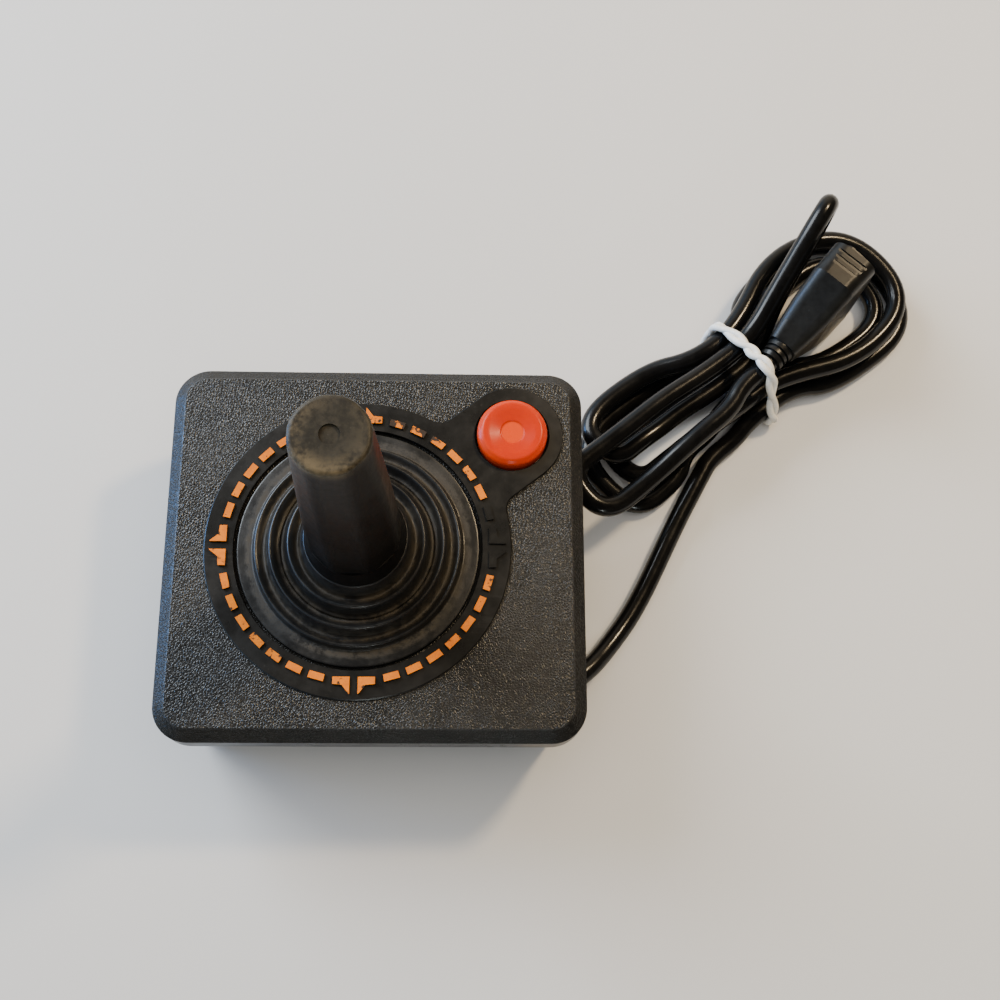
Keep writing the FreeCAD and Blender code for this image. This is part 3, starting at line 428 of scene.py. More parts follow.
@dataclass(frozen=True)
class BootFinish(Finish):
    """Boot rubber with brown dust settled in its valleys.

    Attributes:
        valleys: radii of the valleys.
        dirt: colour of the dust in them.
    """

    valleys: tuple[float, ...] = (24.4, 21.0, 17.2, 13.2)
    dirt: Colour = (0.024, 0.018, 0.010)

    def paint(self, sheet: Sheet, shader: Node) -> None:
        """Feed the shader of this finish."""
        place = sheet.object_place()
        away = sheet.away(place, 0.0, RING_Y)
        _, base, dull = self.clouded(sheet, place)
        settled: Feed = 0.0
        for valley in self.valleys:
            off = sheet.math("ABSOLUTE", sheet.math("SUBTRACT", away, valley * MM))
            settled = sheet.math("ADD", settled, sheet.ramp(off, 0.0003, 0.0016, 1.0, 0.0))
        broken = sheet.use(MOTTLE.group(), {"Place": place, "Per metre": 420.0}).outputs[0]
        settled = sheet.math("MULTIPLY", settled, sheet.ramp(broken, 0.0, 1.0, 0.12, 0.75), clamp=True)
        base = sheet.mix(settled, base, self.dirt)
        rough = sheet.blend_value(settled, dull, 0.8)
        self.finish_off(sheet, shader, place, base, rough)


@dataclass(frozen=True)
class GripFinish(Finish):
    """Handle rubber with its cap worn brown, and its rim lighter: worn patches, kept to the cap's +x,
    -y side as a painted sheen.

    Attributes:
        cap_height: height of the cap's face.
        cap_radius: radius at which the wear is strongest.
        worn: colour of the worn cap.
        rubbed: colour of its worn rim, kept to the cap's +x, -y side as a painted sheen.
    """

    cap_height: float = 110.3
    cap_radius: float = 6.6
    worn: Colour = (0.022, 0.018, 0.011)
    rubbed: Colour = (0.080, 0.060, 0.032)

    def paint(self, sheet: Sheet, shader: Node) -> None:
        """Feed the shader of this finish."""
        place = sheet.object_place()
        x, y, z = sheet.split(place)
        away = sheet.away(place, 0.0, RING_Y)
        near_top = sheet.ramp(z, (self.cap_height - 3.5) * MM, (self.cap_height - 0.2) * MM)
        edge = sheet.ramp(away, (self.cap_radius - 3.2) * MM, self.cap_radius * MM)
        patches = sheet.use(MOTTLE.group(), {"Place": place, "Per metre": 150.0}).outputs[0]
        _, base, dull = self.clouded(sheet, place)
        cap = sheet.times(near_top, sheet.ramp(patches, 0.0, 1.0, 0.45, 1.0))
        base = sheet.mix(cap, base, self.worn)
        # Painted sheen: this mask keeps the rim's lighter colour to the cap's +x, -y side; the patches
        # stand for wear.
        painted_sheen_side = sheet.ramp(sheet.math("SUBTRACT", x, y), -0.002, 0.010, 0.15, 1.0)
        rim = sheet.times(near_top, edge, sheet.times(patches, painted_sheen_side))
        base = sheet.mix(rim, base, self.rubbed)
        rough = sheet.blend_value(cap, dull, 0.52)
        self.finish_off(sheet, shader, place, base, rough)


@dataclass(frozen=True)
class FoilFinish(Finish):
    """Orange caps of the marks, rubbed through in places.

    Attributes:
        bare: colour where the foil is gone.
        worn_spot: place of the strongest wear.
    """

    bare: Colour = (0.030, 0.020, 0.014)
    worn_spot: Point = (-28.5, 7.0, 37.0)

    def paint(self, sheet: Sheet, shader: Node) -> None:
        """Feed the shader of this finish."""
        place = sheet.object_place()
        _, base, dull = self.clouded(sheet, place)
        wear = sheet.noise(place, 520.0, 4.0, 0.6)
        middle = tuple(part * MM for part in self.worn_spot)
        spot = sheet.node("ShaderNodeVectorMath", {0: place, 1: middle}, operation="DISTANCE")
        rubbed = sheet.ramp(spot.outputs["Value"], 0.004, 0.012, 0.12, 0.0)
        through = sheet.ramp(sheet.math("ADD", wear, rubbed), 0.60, 0.66)
        base = sheet.mix(through, base, self.bare)
        self.finish_off(sheet, shader, place, base, dull)


@dataclass(frozen=True)
class ButtonFinish(Finish):
    """Glossy orange-red button, made paler in its dimple and at the rim by painted highlights.

    Attributes:
        centre: the button's middle.
        dimple_highlight_colour: colour of the dimple.
        rim_highlight_colour: colour towards the rim.
    """

    centre: Pair = (-27.2, 31.1)
    dimple_highlight_colour: Colour = (0.66, 0.066, 0.005)
    rim_highlight_colour: Colour = (0.62, 0.060, 0.012)

    def paint(self, sheet: Sheet, shader: Node) -> None:
        """Feed the shader of this finish."""
        place = sheet.object_place()
        away = sheet.away(place, *self.centre)
        _, base, dull = self.clouded(sheet, place)
        # Painted highlight: the dimple is paler.
        dimple = sheet.ramp(away, 0.0022, 0.0030, 0.55, 0.0)
        base = sheet.mix(dimple, base, self.dimple_highlight_colour)
        # Painted highlight: paler towards the rim.
        rim = sheet.ramp(away, 0.0062, 0.0078, 0.0, 0.35)
        base = sheet.mix(rim, base, self.rim_highlight_colour)
        sheet.feed(shader.inputs["Subsurface Weight"], 0.12)
        sheet.feed(shader.inputs["Subsurface Radius"], (0.002, 0.0006, 0.0003))
        sheet.feed(shader.inputs["Subsurface Scale"], 1.0)
        self.finish_off(sheet, shader, place, base, dull)


@dataclass(frozen=True)
class BoardFinish(Finish):
    """Green board with copper lines under the lacquer."""

    def paint(self, sheet: Sheet, shader: Node) -> None:
        """Feed the shader of this finish."""
        place = sheet.object_place()
        lines = sheet.node("ShaderNodeTexVoronoi", {"Vector": place, "Scale": 170.0},
                           feature="DISTANCE_TO_EDGE", distance="MANHATTAN")
        trace = sheet.ramp(lines.outputs["Distance"], 0.10, 0.13, 1.0, 0.0)
        base = sheet.mix(trace, self.colour, self.other)
        rough = self.clouded(sheet, place)[2]
        self.finish_off(sheet, shader, place, base, rough, sheet.times(trace, 0.03))


CASE = CaseFinish("case black", (0.0040, 0.0039, 0.0036), (0.0065, 0.0060, 0.0052), rough=(0.27, 0.36),
                  scratch=0.18, dust=0.05, relief=0.004, shine=0.45)
BASE = CaseFinish("base black", (0.0045, 0.0045, 0.0045), (0.0070, 0.0067, 0.0062), rough=(0.38, 0.5),
                  scratch=0.2, dust=0.05, grain_low=90.0, grain_high=91.0, shine=0.4)
BOOT = BootFinish("boot rubber", (0.0035, 0.0037, 0.0040), (0.0060, 0.0058, 0.0055), rough=(0.30, 0.44),
                  patches=120.0, dust=0.10, scratch=0.0)
GRIP = GripFinish("grip rubber", (0.0014, 0.0014, 0.0015), (0.0026, 0.0025, 0.0024), rough=(0.38, 0.50),
                  patches=90.0, dust=0.06, scratch=0.2, shine=0.2)
CORE = Finish("core plastic", (0.55, 0.53, 0.48), (0.45, 0.43, 0.38), dust=0.1)
FOIL = FoilFinish("mark orange", (0.62, 0.165, 0.006), (0.50, 0.120, 0.004), rough=(0.40, 0.52),
                  patches=300.0, dust=0.03, scratch=0.2, shine=0.15)
BUTTON = ButtonFinish("button orange", (0.45, 0.021, 0.0003), (0.40, 0.017, 0.0003), rough=(0.24, 0.32),
                      patches=140.0, dust=0.01, scratch=0.08, relief=0.002, shine=0.15)
SCREW = Finish("screw steel", (0.55, 0.55, 0.54), (0.42, 0.41, 0.39), rough=(0.25, 0.42), metal=1.0,
               patches=300.0)
SPRING = Finish("spring steel", (0.62, 0.61, 0.58), (0.52, 0.50, 0.46), rough=(0.18, 0.3), metal=1.0,
                patches=200.0)
BRASS = Finish("contact brass", (0.72, 0.52, 0.24), (0.60, 0.42, 0.18), rough=(0.2, 0.35), metal=1.0,
               patches=400.0)
BOARD = BoardFinish("board green", (0.035, 0.12, 0.045), (0.08, 0.20, 0.07), rough=(0.28, 0.4),
                    dust=0.05)
TAPE = Finish("contact tape", (0.70, 0.66, 0.52), (0.60, 0.56, 0.42), rough=(0.25, 0.4), dust=0.05)
BUSH = Finish("bush rubber", (0.012, 0.012, 0.012), (0.020, 0.019, 0.018), rough=(0.5, 0.65),
              scratch=0.0, relief=0.02)
CORD = Finish("cord black", (0.0022, 0.0022, 0.0024), (0.0036, 0.0035, 0.0034), rough=(0.18, 0.26),
              patches=110.0, relief=0.003, scratch=0.08, dust=0.02, shine=0.25)
TIE = Finish("tie white", (0.74, 0.72, 0.67), (0.62, 0.58, 0.50), rough=(0.42, 0.6), patches=420.0,
             relief=0.05, scratch=0.0, dust=0.0)
PLUG = Finish("plug black", (0.0035, 0.0035, 0.0035), (0.0065, 0.0063, 0.0055), rough=(0.30, 0.42),
              patches=110.0, relief=0.006, scratch=0.15, dust=0.04, shine=0.3)
INSERT = Finish("insert black", (0.005, 0.005, 0.005), (0.008, 0.008, 0.008), dust=0.05)
TERMINAL = Finish("terminal white", (0.72, 0.70, 0.64), (0.62, 0.60, 0.54))
WIRES = Finish("wire coats", (0.45, 0.06, 0.05), (0.10, 0.12, 0.35), rough=(0.3, 0.45), dust=0.0)


def dress(node: str, finish: Finish) -> None:
    """Give a node of the model its finish."""
    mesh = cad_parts[node].data
    mesh.materials.clear()
    mesh.materials.append(finish.material())
    LOG.info("%s: %s", node, finish.name)


# Shape helpers


def linked(name: str, data: bpy.types.ID) -> Piece:
    """Object with the given data, put into the scene."""
    piece = bpy.data.objects.new(name, data)
    bpy.context.scene.collection.objects.link(piece)
    return piece


def add_piece(name: str, data: bpy.types.ID, finish: Finish) -> Piece:
    """Put a mesh or curve into the scene.

    Args:
        name: the piece's name.
        data: its mesh or curve.
        finish: its finish.

    Returns:
        The new object.
    """
    piece = linked(name, data)
    data.materials.append(finish.material())
    LOG.info("%s: %s", name, finish.name)
    return piece


def mesh_from(work: bmesh.types.BMesh, name: str) -> Mesh:
    """Smooth-shaded mesh from a finished bmesh, which is freed."""
    bmesh.ops.remove_doubles(work, verts=work.verts, dist=1e-7)
    bmesh.ops.recalc_face_normals(work, faces=work.faces)
    for face in work.faces:
        face.smooth = True
    mesh = bpy.data.meshes.new(name)
    work.to_mesh(mesh)
    work.free()
    return mesh


def soft_line(name: str, points: Iterable[Point], closed: bool = False,
              steps: int = 12) -> bpy.types.Curve:
    """Curve of one NURBS spline with the given points, in millimetres, as its control points."""
    curve = bpy.data.curves.new(name, "CURVE")
    curve.dimensions = "3D"
    curve.resolution_u = steps
    placed = list(points)
    spline = curve.splines.new("NURBS")
    spline.points.add(len(placed) - 1)
    for point, (x, y, z) in zip(spline.points, placed):
        point.co = (x * MM, y * MM, z * MM, 1.0)
    spline.use_cyclic_u = closed
    spline.order_u = 3
    spline.use_endpoint_u = not closed
    return curve


def line_mesh(curve: bpy.types.Curve) -> Mesh:
    """Mesh that Blender makes of a curve; the curve goes."""
    holder = bpy.data.objects.new(curve.name + "_line", curve)
    mesh = bpy.data.meshes.new_from_object(holder)
    bpy.data.objects.remove(holder)
    bpy.data.curves.remove(curve)
    return mesh


def turned(name: str, profile: Sequence[Pair], closed: bool, around: int,
           steps: int) -> bmesh.types.BMesh:
    """Surface turned about the upright axis from a soft profile.

    Args:
        name: name for the profile.
        profile: control points, as (radius, height).
        closed: whether the profile returns to its start.
        around: steps round the axis.
        steps: steps between two points of the profile.

    Returns:
        The bmesh, at the axis.
    """
    curve = soft_line(name, [(radius, 0.0, z) for radius, z in profile], closed=closed, steps=steps)
    mesh = line_mesh(curve)
    work = bmesh.new()
    work.from_mesh(mesh)
    bpy.data.meshes.remove(mesh)
    bmesh.ops.remove_doubles(work, verts=work.verts, dist=1e-7)
    bmesh.ops.spin(work, geom=work.verts[:] + work.edges[:], cent=(0.0, 0.0, 0.0), axis=(0.0, 0.0, 1.0),
                   angle=2 * math.pi, steps=around, use_merge=True, use_duplicate=False)
    return work


# Camera, lights


# Name, place, aim, size, watts and tint
LIGHTS = (
    ("window", (-480.0, -560.0, 520.0), (0.0, 10.0, 20.0), 480.0, 13.0, (0.86, 0.93, 1.0)),
    ("lamp", (-330.0, 420.0, 640.0), (0.0, 30.0, 20.0), 90.0, 5.6, (1.0, 0.76, 0.46)),
    ("low window", (-260.0, -820.0, 130.0), (0.0, 10.0, 30.0), 260.0, 6.5, (0.20, 0.46, 1.0)),
    ("glint", (620.0, 30.0, 210.0), (0.0, 30.0, 20.0), 40.0, 0.6, (0.92, 1.0, 0.97)),
    ("fill", (40.0, 60.0, 950.0), (0.0, 30.0, 0.0), 900.0, 7.2, (1.0, 0.97, 0.93)),
)


@dataclass
class Studio:
    """Plain pale floor, soft lights and the camera at the photograph's place.

    Attributes:
        eye: the camera's place.
        right: direction of the picture's right side.
        down: direction of its lower side.
        ahead: direction of the view.
        lens: focal length on the sensor below.
        sensor: width of the sensor.
    """

    eye: Point = (77.93, 18.12, 323.35)
    right: Point = (0.000505, 0.999376, 0.035318)
    down: Point = (0.954826, 0.010014, -0.296998)
    ahead: Point = (-0.297166, 0.033873, -0.954225)
    lens: float = 47.31
    sensor: float = 36.0

    def camera(self) -> None:
        """Make the camera the scene's own."""
        data = bpy.data.cameras.new("camera")
        data.lens = self.lens
        data.sensor_width = self.sensor
        data.sensor_fit = "HORIZONTAL"
        data.clip_start = 0.01
        camera = linked("camera", data)
        across, up, back = Vector(self.right), -Vector(self.down), -Vector(self.ahead)
        turn = Matrix((across, up, back)).transposed().to_4x4()
        camera.matrix_world = Matrix.Translation(Vector(self.eye) * MM) @ turn
        bpy.context.scene.camera = camera

    def light(self, name: str, place: Point, aim: Point, size: float, power: float,
              tint: Colour) -> Piece:
        """Square soft light.

        Args:
            name: its name.
            place: where it hangs.
            aim: what it looks at.
            size: side of the square.
            power: strength in watts.
            tint: its colour.

        Returns:
            The light's object.
        """
        data = bpy.data.lights.new(name, "AREA")
        data.shape = "SQUARE"
        data.size = size * MM
        data.energy = power
        data.color = tint
        lamp = linked(name, data)
        lamp.location = Vector(place) * MM
        lamp.rotation_euler = (Vector(aim) - Vector(place)).to_track_quat("-Z", "Y").to_euler()
        return lamp

    def floor(self) -> None:
        """Plain pale floor."""
        work = bmesh.new()
        bmesh.ops.create_grid(work, x_segments=1, y_segments=1, size=3.0)
        mesh = bpy.data.meshes.new("floor")
        work.to_mesh(mesh)
        work.free()
        floor = linked("floor", mesh)
        material = bpy.data.materials.new("floor")
        material.use_nodes = True
        sheet = Sheet(material.node_tree)
        feeds = {"Base Color": (0.54, 0.53, 0.515), "Roughness": 0.65}
        shader = sheet.node("ShaderNodeBsdfPrincipled", feeds)
        sheet.node("ShaderNodeOutputMaterial", {"Surface": shader.outputs[0]})
        mesh.materials.append(material)

    def world(self) -> None:
        """Even light from all round, dimmer overhead and brighter towards the window."""
        world = bpy.data.worlds.new("room")
        world.use_nodes = True
        sheet = Sheet(world.node_tree)
        x, y, z = sheet.split(sheet.node("ShaderNodeTexCoord").outputs["Generated"])
        side = sheet.math("ADD", sheet.times(x, -0.55), sheet.times(y, -0.65))
        strength = sheet.ramp(side, -0.35, 0.6, 0.13, 1.5)
        overhead = sheet.ramp(z, 0.5, 0.88, 1.0, 0.14)
        strength = sheet.times(strength, overhead)
        left = sheet.times(sheet.ramp(y, -0.6, 0.1, 1.0, 0.0), sheet.ramp(z, 0.45, 0.8, 1.0, 0.0))
        tint = sheet.mix(left, (1.0, 0.84, 0.62), (0.48, 0.72, 1.0))
        seen = sheet.node("ShaderNodeLightPath").outputs["Is Camera Ray"]
        feeds = {"Color": sheet.mix(seen, tint, (0.84, 0.84, 0.83)),
                 "Strength": sheet.blend_value(seen, strength, 1.0)}
        shader = sheet.node("ShaderNodeBackground", feeds)
        sheet.node("ShaderNodeOutputWorld", {"Surface": shader.outputs[0]})
        bpy.context.scene.world = world

    def build(self) -> None:
        """Make it all."""
        self.camera()
        self.floor()
        self.world()
        lights = {row[0]: self.light(*row) for row in LIGHTS}
        lights["fill"].visible_glossy = False


# Cord


@dataclass
class Hank:
    """Loops of the cord, in their own frame: u along the waist, v to its left, from the tie's middle.

    Attributes:
        slots: crossings of the waist: half steps from its middle, row, and layers above the row.
    """

    x: float = -55.3
    y: float = 92.9
    angle: float = math.radians(129.36)
    entry_angle: float = math.radians(22.0)
    entry_u: float = -15.0
    entry_v: float = -11.1
    entry_span: float = 11.3
    waist_half: float = 3.0
    fan_start: float = 5.0
    plug_angle: float = math.radians(9.3)
    plug_start_u: float = 3.5
    on_floor: float = 2.55
    step: float = 6.8
    layer: float = 5.9
    lane: float = 5.9
    lowest: float = 2.6
    near_plug: Pair = (-11.0, 12.8)
    row_shift: tuple[float, float, float] = (0.4, 1.4, 0.0)
    slots: tuple[Point, ...] = ((-3.0, 0, 0.25), (3.0, 0, 0.3), (-1.0, 0, 0.25),
                                (1.2, 0, 0.15), (-2.2, 1, 0.15), (2.5, 1, 0.65),
                                (0.0, 1, 0.05), (1.5, 2, 0.1), (-1.1, 2, 0.5))
    corners: list[Point] = field(default_factory=list)

    def level(self, layers: float) -> float:
        """Height of the cord's middle in a layer."""
        return self.lowest + self.layer * layers

    def place(self, u: float, v: float, z: float) -> Point:
        """Point of the hank's frame in the case's frame."""
        cos, sin = math.cos(self.angle), math.sin(self.angle)
        return (self.x + u * cos - v * sin, self.y + u * sin + v * cos, z)

    def waist(self, index: int) -> Pair:
        """Middle of a crossing of the waist."""
        half_steps, row, above = self.slots[index]
        return half_steps * self.step / 2 + self.row_shift[int(row)], self.level(row + above)

    def strand(self, u: float, v: float, layers: float, tip_v: float,
               tip_layers: float) -> tuple[float, ...]:
        """A strand's drawn-in end and its place at the half turn, as lengths."""
        return u, v, self.level(layers), tip_v, self.level(tip_layers)

    def drawn(self) -> dict[int, tuple[float, tuple[float, ...], tuple[float, ...]]]:
        """Loops whose strands shift from lane to lane, by their crossing of the waist.

        Returns:
            Tuples of the half turn's u, then (u, v, z, tip v, tip z) of the strand out and back.
        """
        low, high = self.near_plug
        next_low, next_high = low - self.lane, high + self.lane
        part = self.strand
        return {
            0: (33.5, part(26.0, next_low, 0.0, next_low, 0.0),
                part(24.0, next_high, 0.0, next_high, 0.0)),
            1: (-34.5, part(-24.0, 14.0, 0.0, 14.0, 0.0), part(-21.0, -5.5, 0.0, -10.0, 0.0)),
            2: (33.0, part(27.0, low, 0.25, low, 0.25), part(28.0, high, 0.1, high, 0.1)),
            3: (-33.5, part(-28.0, 8.0, 0.1, 8.0, 0.0), part(-22.0, -5.8, 1.45, -5.0, 0.6)),
            5: (-35.5, part(-26.0, 16.5, 0.95, 16.5, 0.95), part(-26.0, 2.4, 1.1, 2.5, 1.25)),
            7: (-48.4, part(-30.0, 6.4, 2.2, 6.5, 2.15), part(-17.0, -6.6, 2.45, -7.4, 1.9)),
        }

    def fanned(self) -> dict[int, tuple[Point, ...]]:
        """Corners (u, v, z) of the loops that spread from the waist, by their crossing of it."""
        corners = {4: ((27.0, -16.5, 1.2), (49.5, -11.5, 1.1), (49.5, 13.0, 1.1), (28.0, 20.5, 1.3)),
                   6: ((17.0, 9.0, 1.35), (41.0, 17.5, 2.4), (40.0, 17.5, 5.4), (17.0, 9.5, 3.0))}
        return {index: tuple((u, v, self.level(layers)) for u, v, layers in loop)
                for index, loop in corners.items()}

    def sway(self, start: Point, end: Point) -> None:
        """Corners of a shift from one lane to another, both ends along u."""
        reach = abs(end[0] - start[0])
        shift = math.hypot(end[1] - start[1], end[2] - start[2])
        if shift < 1e-6:
            return
        length = (reach * reach + shift * shift) / (4 * reach)
        way = math.copysign(length, end[0] - start[0])
        self.corners.append((start[0] + way, start[1], start[2]))
        self.corners.append((end[0] - way, end[1], end[2]))

    def entry(self) -> tuple[Point, Point]:
        """Where the free cord becomes the hank, and its direction there."""
        radius = self.entry_span / math.sin(self.entry_angle)
        v = self.entry_v - radius * (1 - math.cos(self.entry_angle))
        first = (self.entry_u - self.entry_span, v, self.on_floor)
        return first, (math.cos(self.entry_angle), math.sin(self.entry_angle), 0.0)

    def plug_start(self) -> Point:
        """End of the cord in the plug."""
        v, z = self.waist(len(self.slots) - 1)
        radius = (self.plug_start_u + self.waist_half) / math.sin(self.plug_angle)
        return (self.plug_start_u, v + radius * (1 - math.cos(self.plug_angle)), z)

    def route(self) -> list[Point]:
        """Control points of the loops, in the case's frame."""
        radius = self.entry_span / math.sin(self.entry_angle)
        turn_u = self.entry_u - radius * math.tan(self.entry_angle / 2)
        self.corners = [self.entry()[0], (turn_u, self.entry_v, self.on_floor)]
        here: Point = (self.entry_u, self.entry_v, self.on_floor)
        way = 1.0
        drawn, fanned = self.drawn(), self.fanned()
        for index in range(len(self.slots)):
            v, z = self.waist(index)
            self.sway(here, (-way * self.waist_half, v, z))
            if index in fanned:
                next_v, next_z = self.waist(index + 1)
                self.corners += [(way * self.fan_start, v, z), *fanned[index],
                                 (way * self.fan_start, next_v, next_z)]
                here = (way * self.waist_half, next_v, next_z)
                way = -way
                continue
            if index not in drawn:
                break
            tip, out, back = drawn[index]
            self.sway((way * self.waist_half, v, z), out[:3])
            self.sway(out[:3], (tip, *out[3:]))
            length = math.dist(out[3:], back[3:]) / 2
            self.corners.append((tip + way * length, *out[3:]))
            self.corners.append((tip + way * length, *back[3:]))
            self.sway((tip, *back[3:]), back[:3])
            here = back[:3]
            way = -way
        end = self.plug_start()
        v, z = self.waist(len(self.slots) - 1)
        length = (end[0] + self.waist_half) / math.sin(self.plug_angle) * math.tan(self.plug_angle / 2)
        self.corners += [(length - self.waist_half, v, z), end]
        return [self.place(*corner) for corner in self.corners]


@dataclass
class Cord:
    """The cord from the case's wall through the hank to the plug, and the hank's tie.

    Attributes:
        start: its first point, inside the wall.
        outside: its first point outside.
        exit: where it leaves the bush; not used.
        middle: points of the free stretch.
        last_run: straight run before the hank.
        outermost: crossings of the waist that the tie touches.
    """

    radius: float = 2.5
    length: float = 0.98
    start: Point = (29.8, 41.2, 10.6)
    outside: Point = (23.9, 49.65, 8.55)
    exit: Point = (25.4, 47.5, 9.07)
    middle: tuple[Point, ...] = ((16.5, 56.0, 4.7), (5.5, 63.9, 2.55))
    last_run: float = 14.0
    hank: Hank = field(default_factory=Hank)
    outermost: tuple[int, ...] = (0, 3, 1, 5, 7, 8)

    def route(self) -> list[Point]:
        """Control points of the whole cord."""
        (u, v, z), (along, aside, _) = self.hank.entry()
        before = self.hank.place(u - along * self.last_run, v - aside * self.last_run, z)
        return [self.start, self.outside, *self.middle, before] + self.hank.route()

    def build(self) -> Piece:
        """Make the cord."""
        curve = soft_line("cord", self.route())
        curve.bevel_depth = self.radius * MM
        curve.bevel_resolution = 6
        curve.use_fill_caps = True
        return add_piece("cord", curve, CORD)

    def waist_line(self, reach: float, count: int) -> list[tuple[Vector, Vector]]:
        """Evenly spaced places round the tied strands.

        Args:
            reach: distance from the strands' middles.
            count: how many places.

        Returns:
            Pairs of the place and the outward direction, both as (v, z).
        """
        corners = [Vector(self.hank.waist(index)) for index in self.outermost]
        dense = []
        fine = 720
        for index in range(fine):
            turn = 2 * math.pi * index / fine
            normal = Vector((math.cos(turn), math.sin(turn)))
            dense.append((max(corners, key=normal.dot) + normal * reach, normal))
        around = 0.0
        marks = []
        for (place, normal), (following, _) in zip(dense, dense[1:] + dense[:1]):
            marks.append((around, place, normal, following))
            around += (following - place).length
        placed = []
        for index in range(count):
            wanted = around * index / count
            passed = (mark for mark in marks if mark[0] <= wanted)
            start, place, normal, following = max(passed, key=lambda mark: mark[0])
            step = (following - place).length
            part = (wanted - start) / step if step > 1e-9 else 0.0
            placed.append((place.lerp(following, part), normal))
        return placed

    def tie(self) -> Piece:
        """Two soft strands twisted flat round the waist, thin where they run below it."""
        count = 168
        twists = 6
        thick = 0.92
        bulge, aside_reach, drift, least = 0.28, 0.86, 0.9, 0.5
        work = bmesh.new()
        line = self.waist_line(self.radius, count)
        for strand in range(2):
            points, widths = [], []
            for index, (place, normal) in enumerate(line):
                turn = 2 * math.pi * index / count
                lay = twists * turn + 0.8 * math.sin(3 * turn) + math.pi * strand
                share = min(1.0, max(0.0, (normal.y + 0.95) / 0.6))
                width = least + (1 - least) * share * share * (3 - 2 * share)
                out = width * (thick + bulge * (1 + math.cos(lay)) * share)
                aside = aside_reach * math.sin(lay) + drift * math.sin(turn + 0.6)
                moved = place + normal * out
                points.append(self.hank.place(aside, moved.x, moved.y))
                widths.append(width)
            curve = soft_line("strand", points, closed=True, steps=2)
            curve.bevel_depth = thick * MM
            curve.bevel_resolution = 3
            for point, width in zip(curve.splines[0].points, widths):
                point.radius = width
            mesh = line_mesh(curve)
            work.from_mesh(mesh)
            bpy.data.meshes.remove(mesh)
        return add_piece("tie", mesh_from(work, "tie"), TIE)

    def dress(self) -> None:
        cord = self.build()
        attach(cord, "case")
        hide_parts("cord_lead", "cord_hank")
        tie = self.tie()
        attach(tie, "case")
        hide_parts("cord_tie")
        plug = {"plug_relief": PLUG, "plug_hood": PLUG, "plug_insert": INSERT,
                "plug_contacts": BRASS}
        for name, finish in plug.items():
            dress(name, finish)
        dress("cord_bush", BUSH)


# Boot


@dataclass
class Boot:
    """Rubber bellows in two rings.

    Attributes:
        outer: profile of the outer ring, as (radius, height).
        inner: profile of the inner ring.
    """

    outer: tuple[Pair, ...] = (
        (17.2, 38.75), (18.1, 38.8), (19.0, 40.6), (19.7, 40.6), (20.5, 37.3), (21.5, 36.9),
        (22.5, 38.1), (23.2, 38.1), (23.6, 36.5), (24.0, 36.35), (24.2, 36.35), (26.9, 36.25),
        (27.1, 36.2), (27.3, 36.1), (27.4, 35.6), (27.4, 35.1), (24.5, 35.1), (22.5, 36.2),
        (21.0, 36.0),
        (19.8, 38.7), (18.4, 38.4), (17.2, 37.6))
    inner: tuple[Pair, ...] = (
        (11.35, 45.4), (11.6, 45.0), (12.6, 41.4), (13.5, 40.8), (14.7, 42.6), (15.4, 42.5),
        (16.3, 39.0), (17.2, 38.75),
        (17.2, 37.6), (16.5, 37.9), (15.1, 41.0), (13.4, 39.7), (11.2, 42.6), (10.4, 42.6),
        (10.15, 43.0), (10.15, 45.2),
        (10.4, 45.4))

    def ring(self, name: str, profile: Sequence[Pair]) -> Piece:
        """Ring of rubber turned from a closed profile."""
        work = turned(name, profile, True, 144, 5)
        bmesh.ops.translate(work, verts=work.verts, vec=(0.0, RING_Y * MM, 0.0))
        return add_piece(name, mesh_from(work, name), BOOT)

    def dress(self) -> None:
        """Build both rings."""
        outer = self.ring("boot_outer", self.outer)
        inner = self.ring("boot_inner", self.inner)
        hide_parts("rubber_boot")
        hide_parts("rubber_boot")
        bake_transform(outer)
        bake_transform(inner)


class Stick:
    """Handle and core."""

    def dress(self) -> None:
        """Give each part its finish."""
        dress("grip_sleeve", GRIP)
        dress("stick_core", CORE)


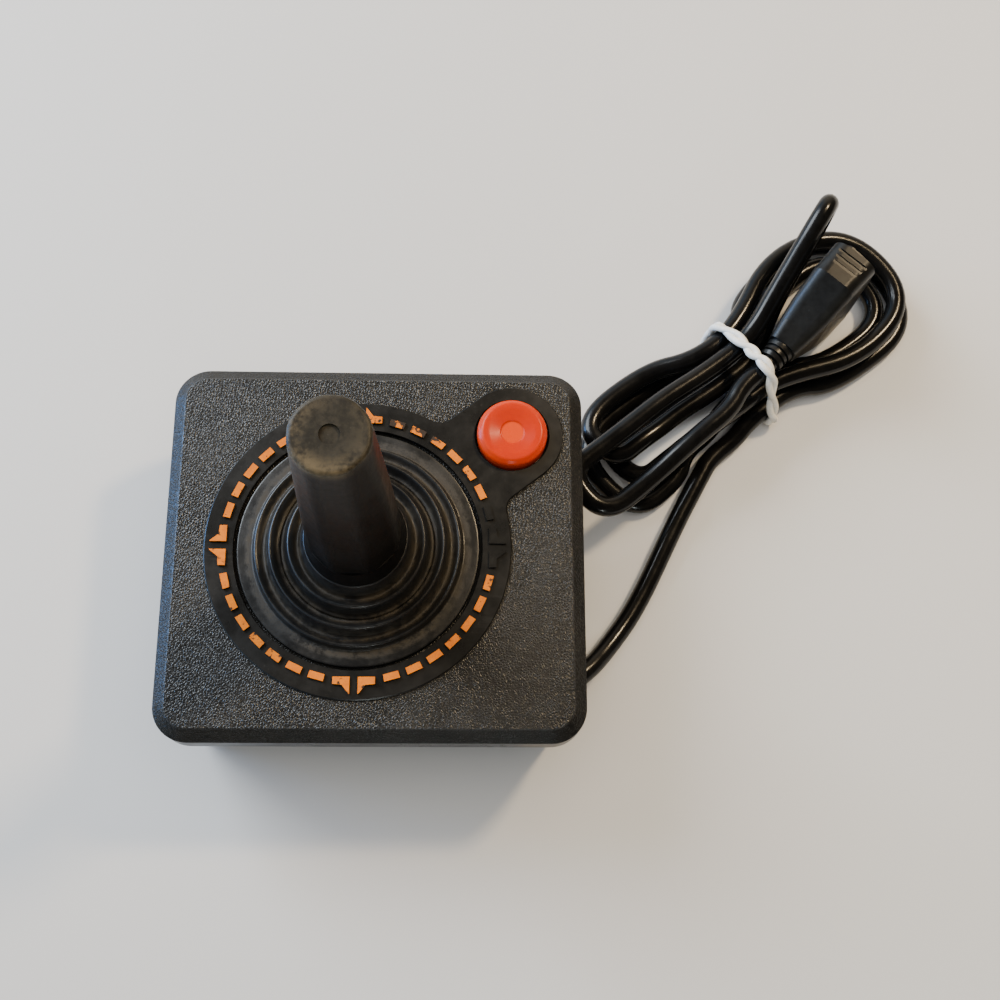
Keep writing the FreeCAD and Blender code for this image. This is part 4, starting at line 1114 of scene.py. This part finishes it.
@dataclass
class Contacts:
    """Sprung parts on the board, below the stick and the button.

    Attributes:
        board: height of the board's face.
        ring: distance of the domes from the stick.
        dome: radius, height and thickness of the domes below the stick.
        fire: the same of the dome below the button.
        tape: the same of the tape's bumps.
        tape_ring: inner and outer radius of the tape.
        pressed: share of their height that the domes keep below the stick and below the button; not
            used.
        travel: the button's travel; not used.
        wire: radius of the spring's wire.
        turns: turns of the spring.
    """

    board: float = 16.0
    ring: float = 12.0
    dome: Point = (5.0, 1.3, 0.25)
    fire: Point = (4.5, 1.2, 0.25)
    tape: Point = (5.4, 1.45, 0.12)
    tape_ring: Pair = (4.7, 18.5)
    pressed: Pair = (0.25, 0.14)
    travel: float = 1.8
    wire: float = 0.3
    turns: int = 7

    def domes(self, name: str, places: Sequence[Pair], size: Point) -> Mesh:
        """Thin domes of one size, standing on the board at the given places."""
        radius, height, sheet = size
        inner, under = radius - sheet, height - sheet
        profile = [(0.0, height), (radius / 2, height), (radius, 0.0), (radius, 0.0), (inner, 0.0),
                   (inner, 0.0),
                   (inner / 2, under), (0.0, under)]
        work = bmesh.new()
        for x, y in places:
            shell = turned(name, profile, False, 48, 6)
            bmesh.ops.translate(shell, verts=shell.verts, vec=(x * MM, y * MM, self.board * MM))
            mesh = mesh_from(shell, name)
            work.from_mesh(mesh)
            bpy.data.meshes.remove(mesh)
        return mesh_from(work, name)

    def spring(self) -> Mesh:
        """Coil between the board and the button."""
        low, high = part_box("button_spring")
        middle = (Vector(low) + Vector(high)) / 2 / MM
        radius = (high[0] - low[0]) / 2 / MM - self.wire
        bottom, top = low[2] / MM + self.wire, high[2] / MM - self.wire
        steps = 16 * self.turns
        points = []
        for index in range(steps + 1):
            turn = 2 * math.pi * self.turns * index / steps
            points.append((middle.x + radius * math.cos(turn), middle.y + radius * math.sin(turn),
                           bottom + (top - bottom) * index / steps))
        curve = soft_line("button_coil", points, steps=2)
        curve.bevel_depth = self.wire * MM
        curve.bevel_resolution = 3
        curve.use_fill_caps = True
        mesh = line_mesh(curve)
        mesh.name = "button_coil"
        return mesh

    def press(self, piece: Piece, node: str) -> None:
        """Stand a piece in for a node, on the case's body."""
        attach(piece, "case")
        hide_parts(node)
        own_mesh(piece)

    def dress(self) -> None:
        """Build the domes, the tape and the spring."""
        x, y = ButtonFinish.centre
        sides = {"stick_fore_aft": ((0.0, RING_Y + self.ring), (0.0, RING_Y - self.ring)),
                 "stick_left_right": ((self.ring, RING_Y), (-self.ring, RING_Y))}
        kinds = (("dome", self.dome, "direction_domes", SPRING, "dome_steel"),
                 ("tape", self.tape, "dome_tape", TAPE, "tape_clear"))
        for joint, places in sides.items():
            for kind, size, node, finish, slot in kinds:
                name = f"{kind}_{joint}"
                piece = add_piece(name, self.domes(name, places, size), finish)
                self.press(piece, node)
        inner, outer = self.tape_ring
        thick = self.tape[2]
        corners = ((inner, 0.0), (outer, 0.0), (outer, thick), (inner, thick))
        flat = turned("tape_flat", [corner for corner in corners for _ in range(2)], True, 96, 2)
        bmesh.ops.translate(flat, verts=flat.verts, vec=(0.0, RING_Y * MM, self.board * MM))
        flat_piece = add_piece("tape_flat", mesh_from(flat, "tape_flat"), TAPE)
        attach(flat_piece, "case")
        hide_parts("dome_tape")
        dome = self.domes("fire_contact", ((x, y),), self.fire)
        fire = add_piece("fire_contact", dome, SPRING)
        self.press(fire, "fire_dome")
        coil = add_piece("button_coil", self.spring(), SPRING)
        self.press(coil, "button_spring")


class CaseShell:
    """Case halves, marks, screws, board and button."""

    def dress(self) -> None:
        """Give each part its finish."""
        finishes = {"top_case": CASE, "bottom_case": BASE, "mark_foil": FOIL, "case_screws": SCREW,
                    "circuit_board": BOARD, "fire_button": BUTTON, "wire_terminals": TERMINAL,
                    "inner_wires": WIRES}
        for node, finish in finishes.items():
            dress(node, finish)


def main() -> None:
    """Build the studio, then each sub-assembly."""
    logging.basicConfig(level=logging.INFO, format="%(name)s %(message)s")
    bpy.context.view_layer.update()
    Studio().build()
    Cord().dress()
    Boot().dress()
    Stick().dress()
    Contacts().dress()
    CaseShell().dress()


if __name__ == "__main__":
    main()
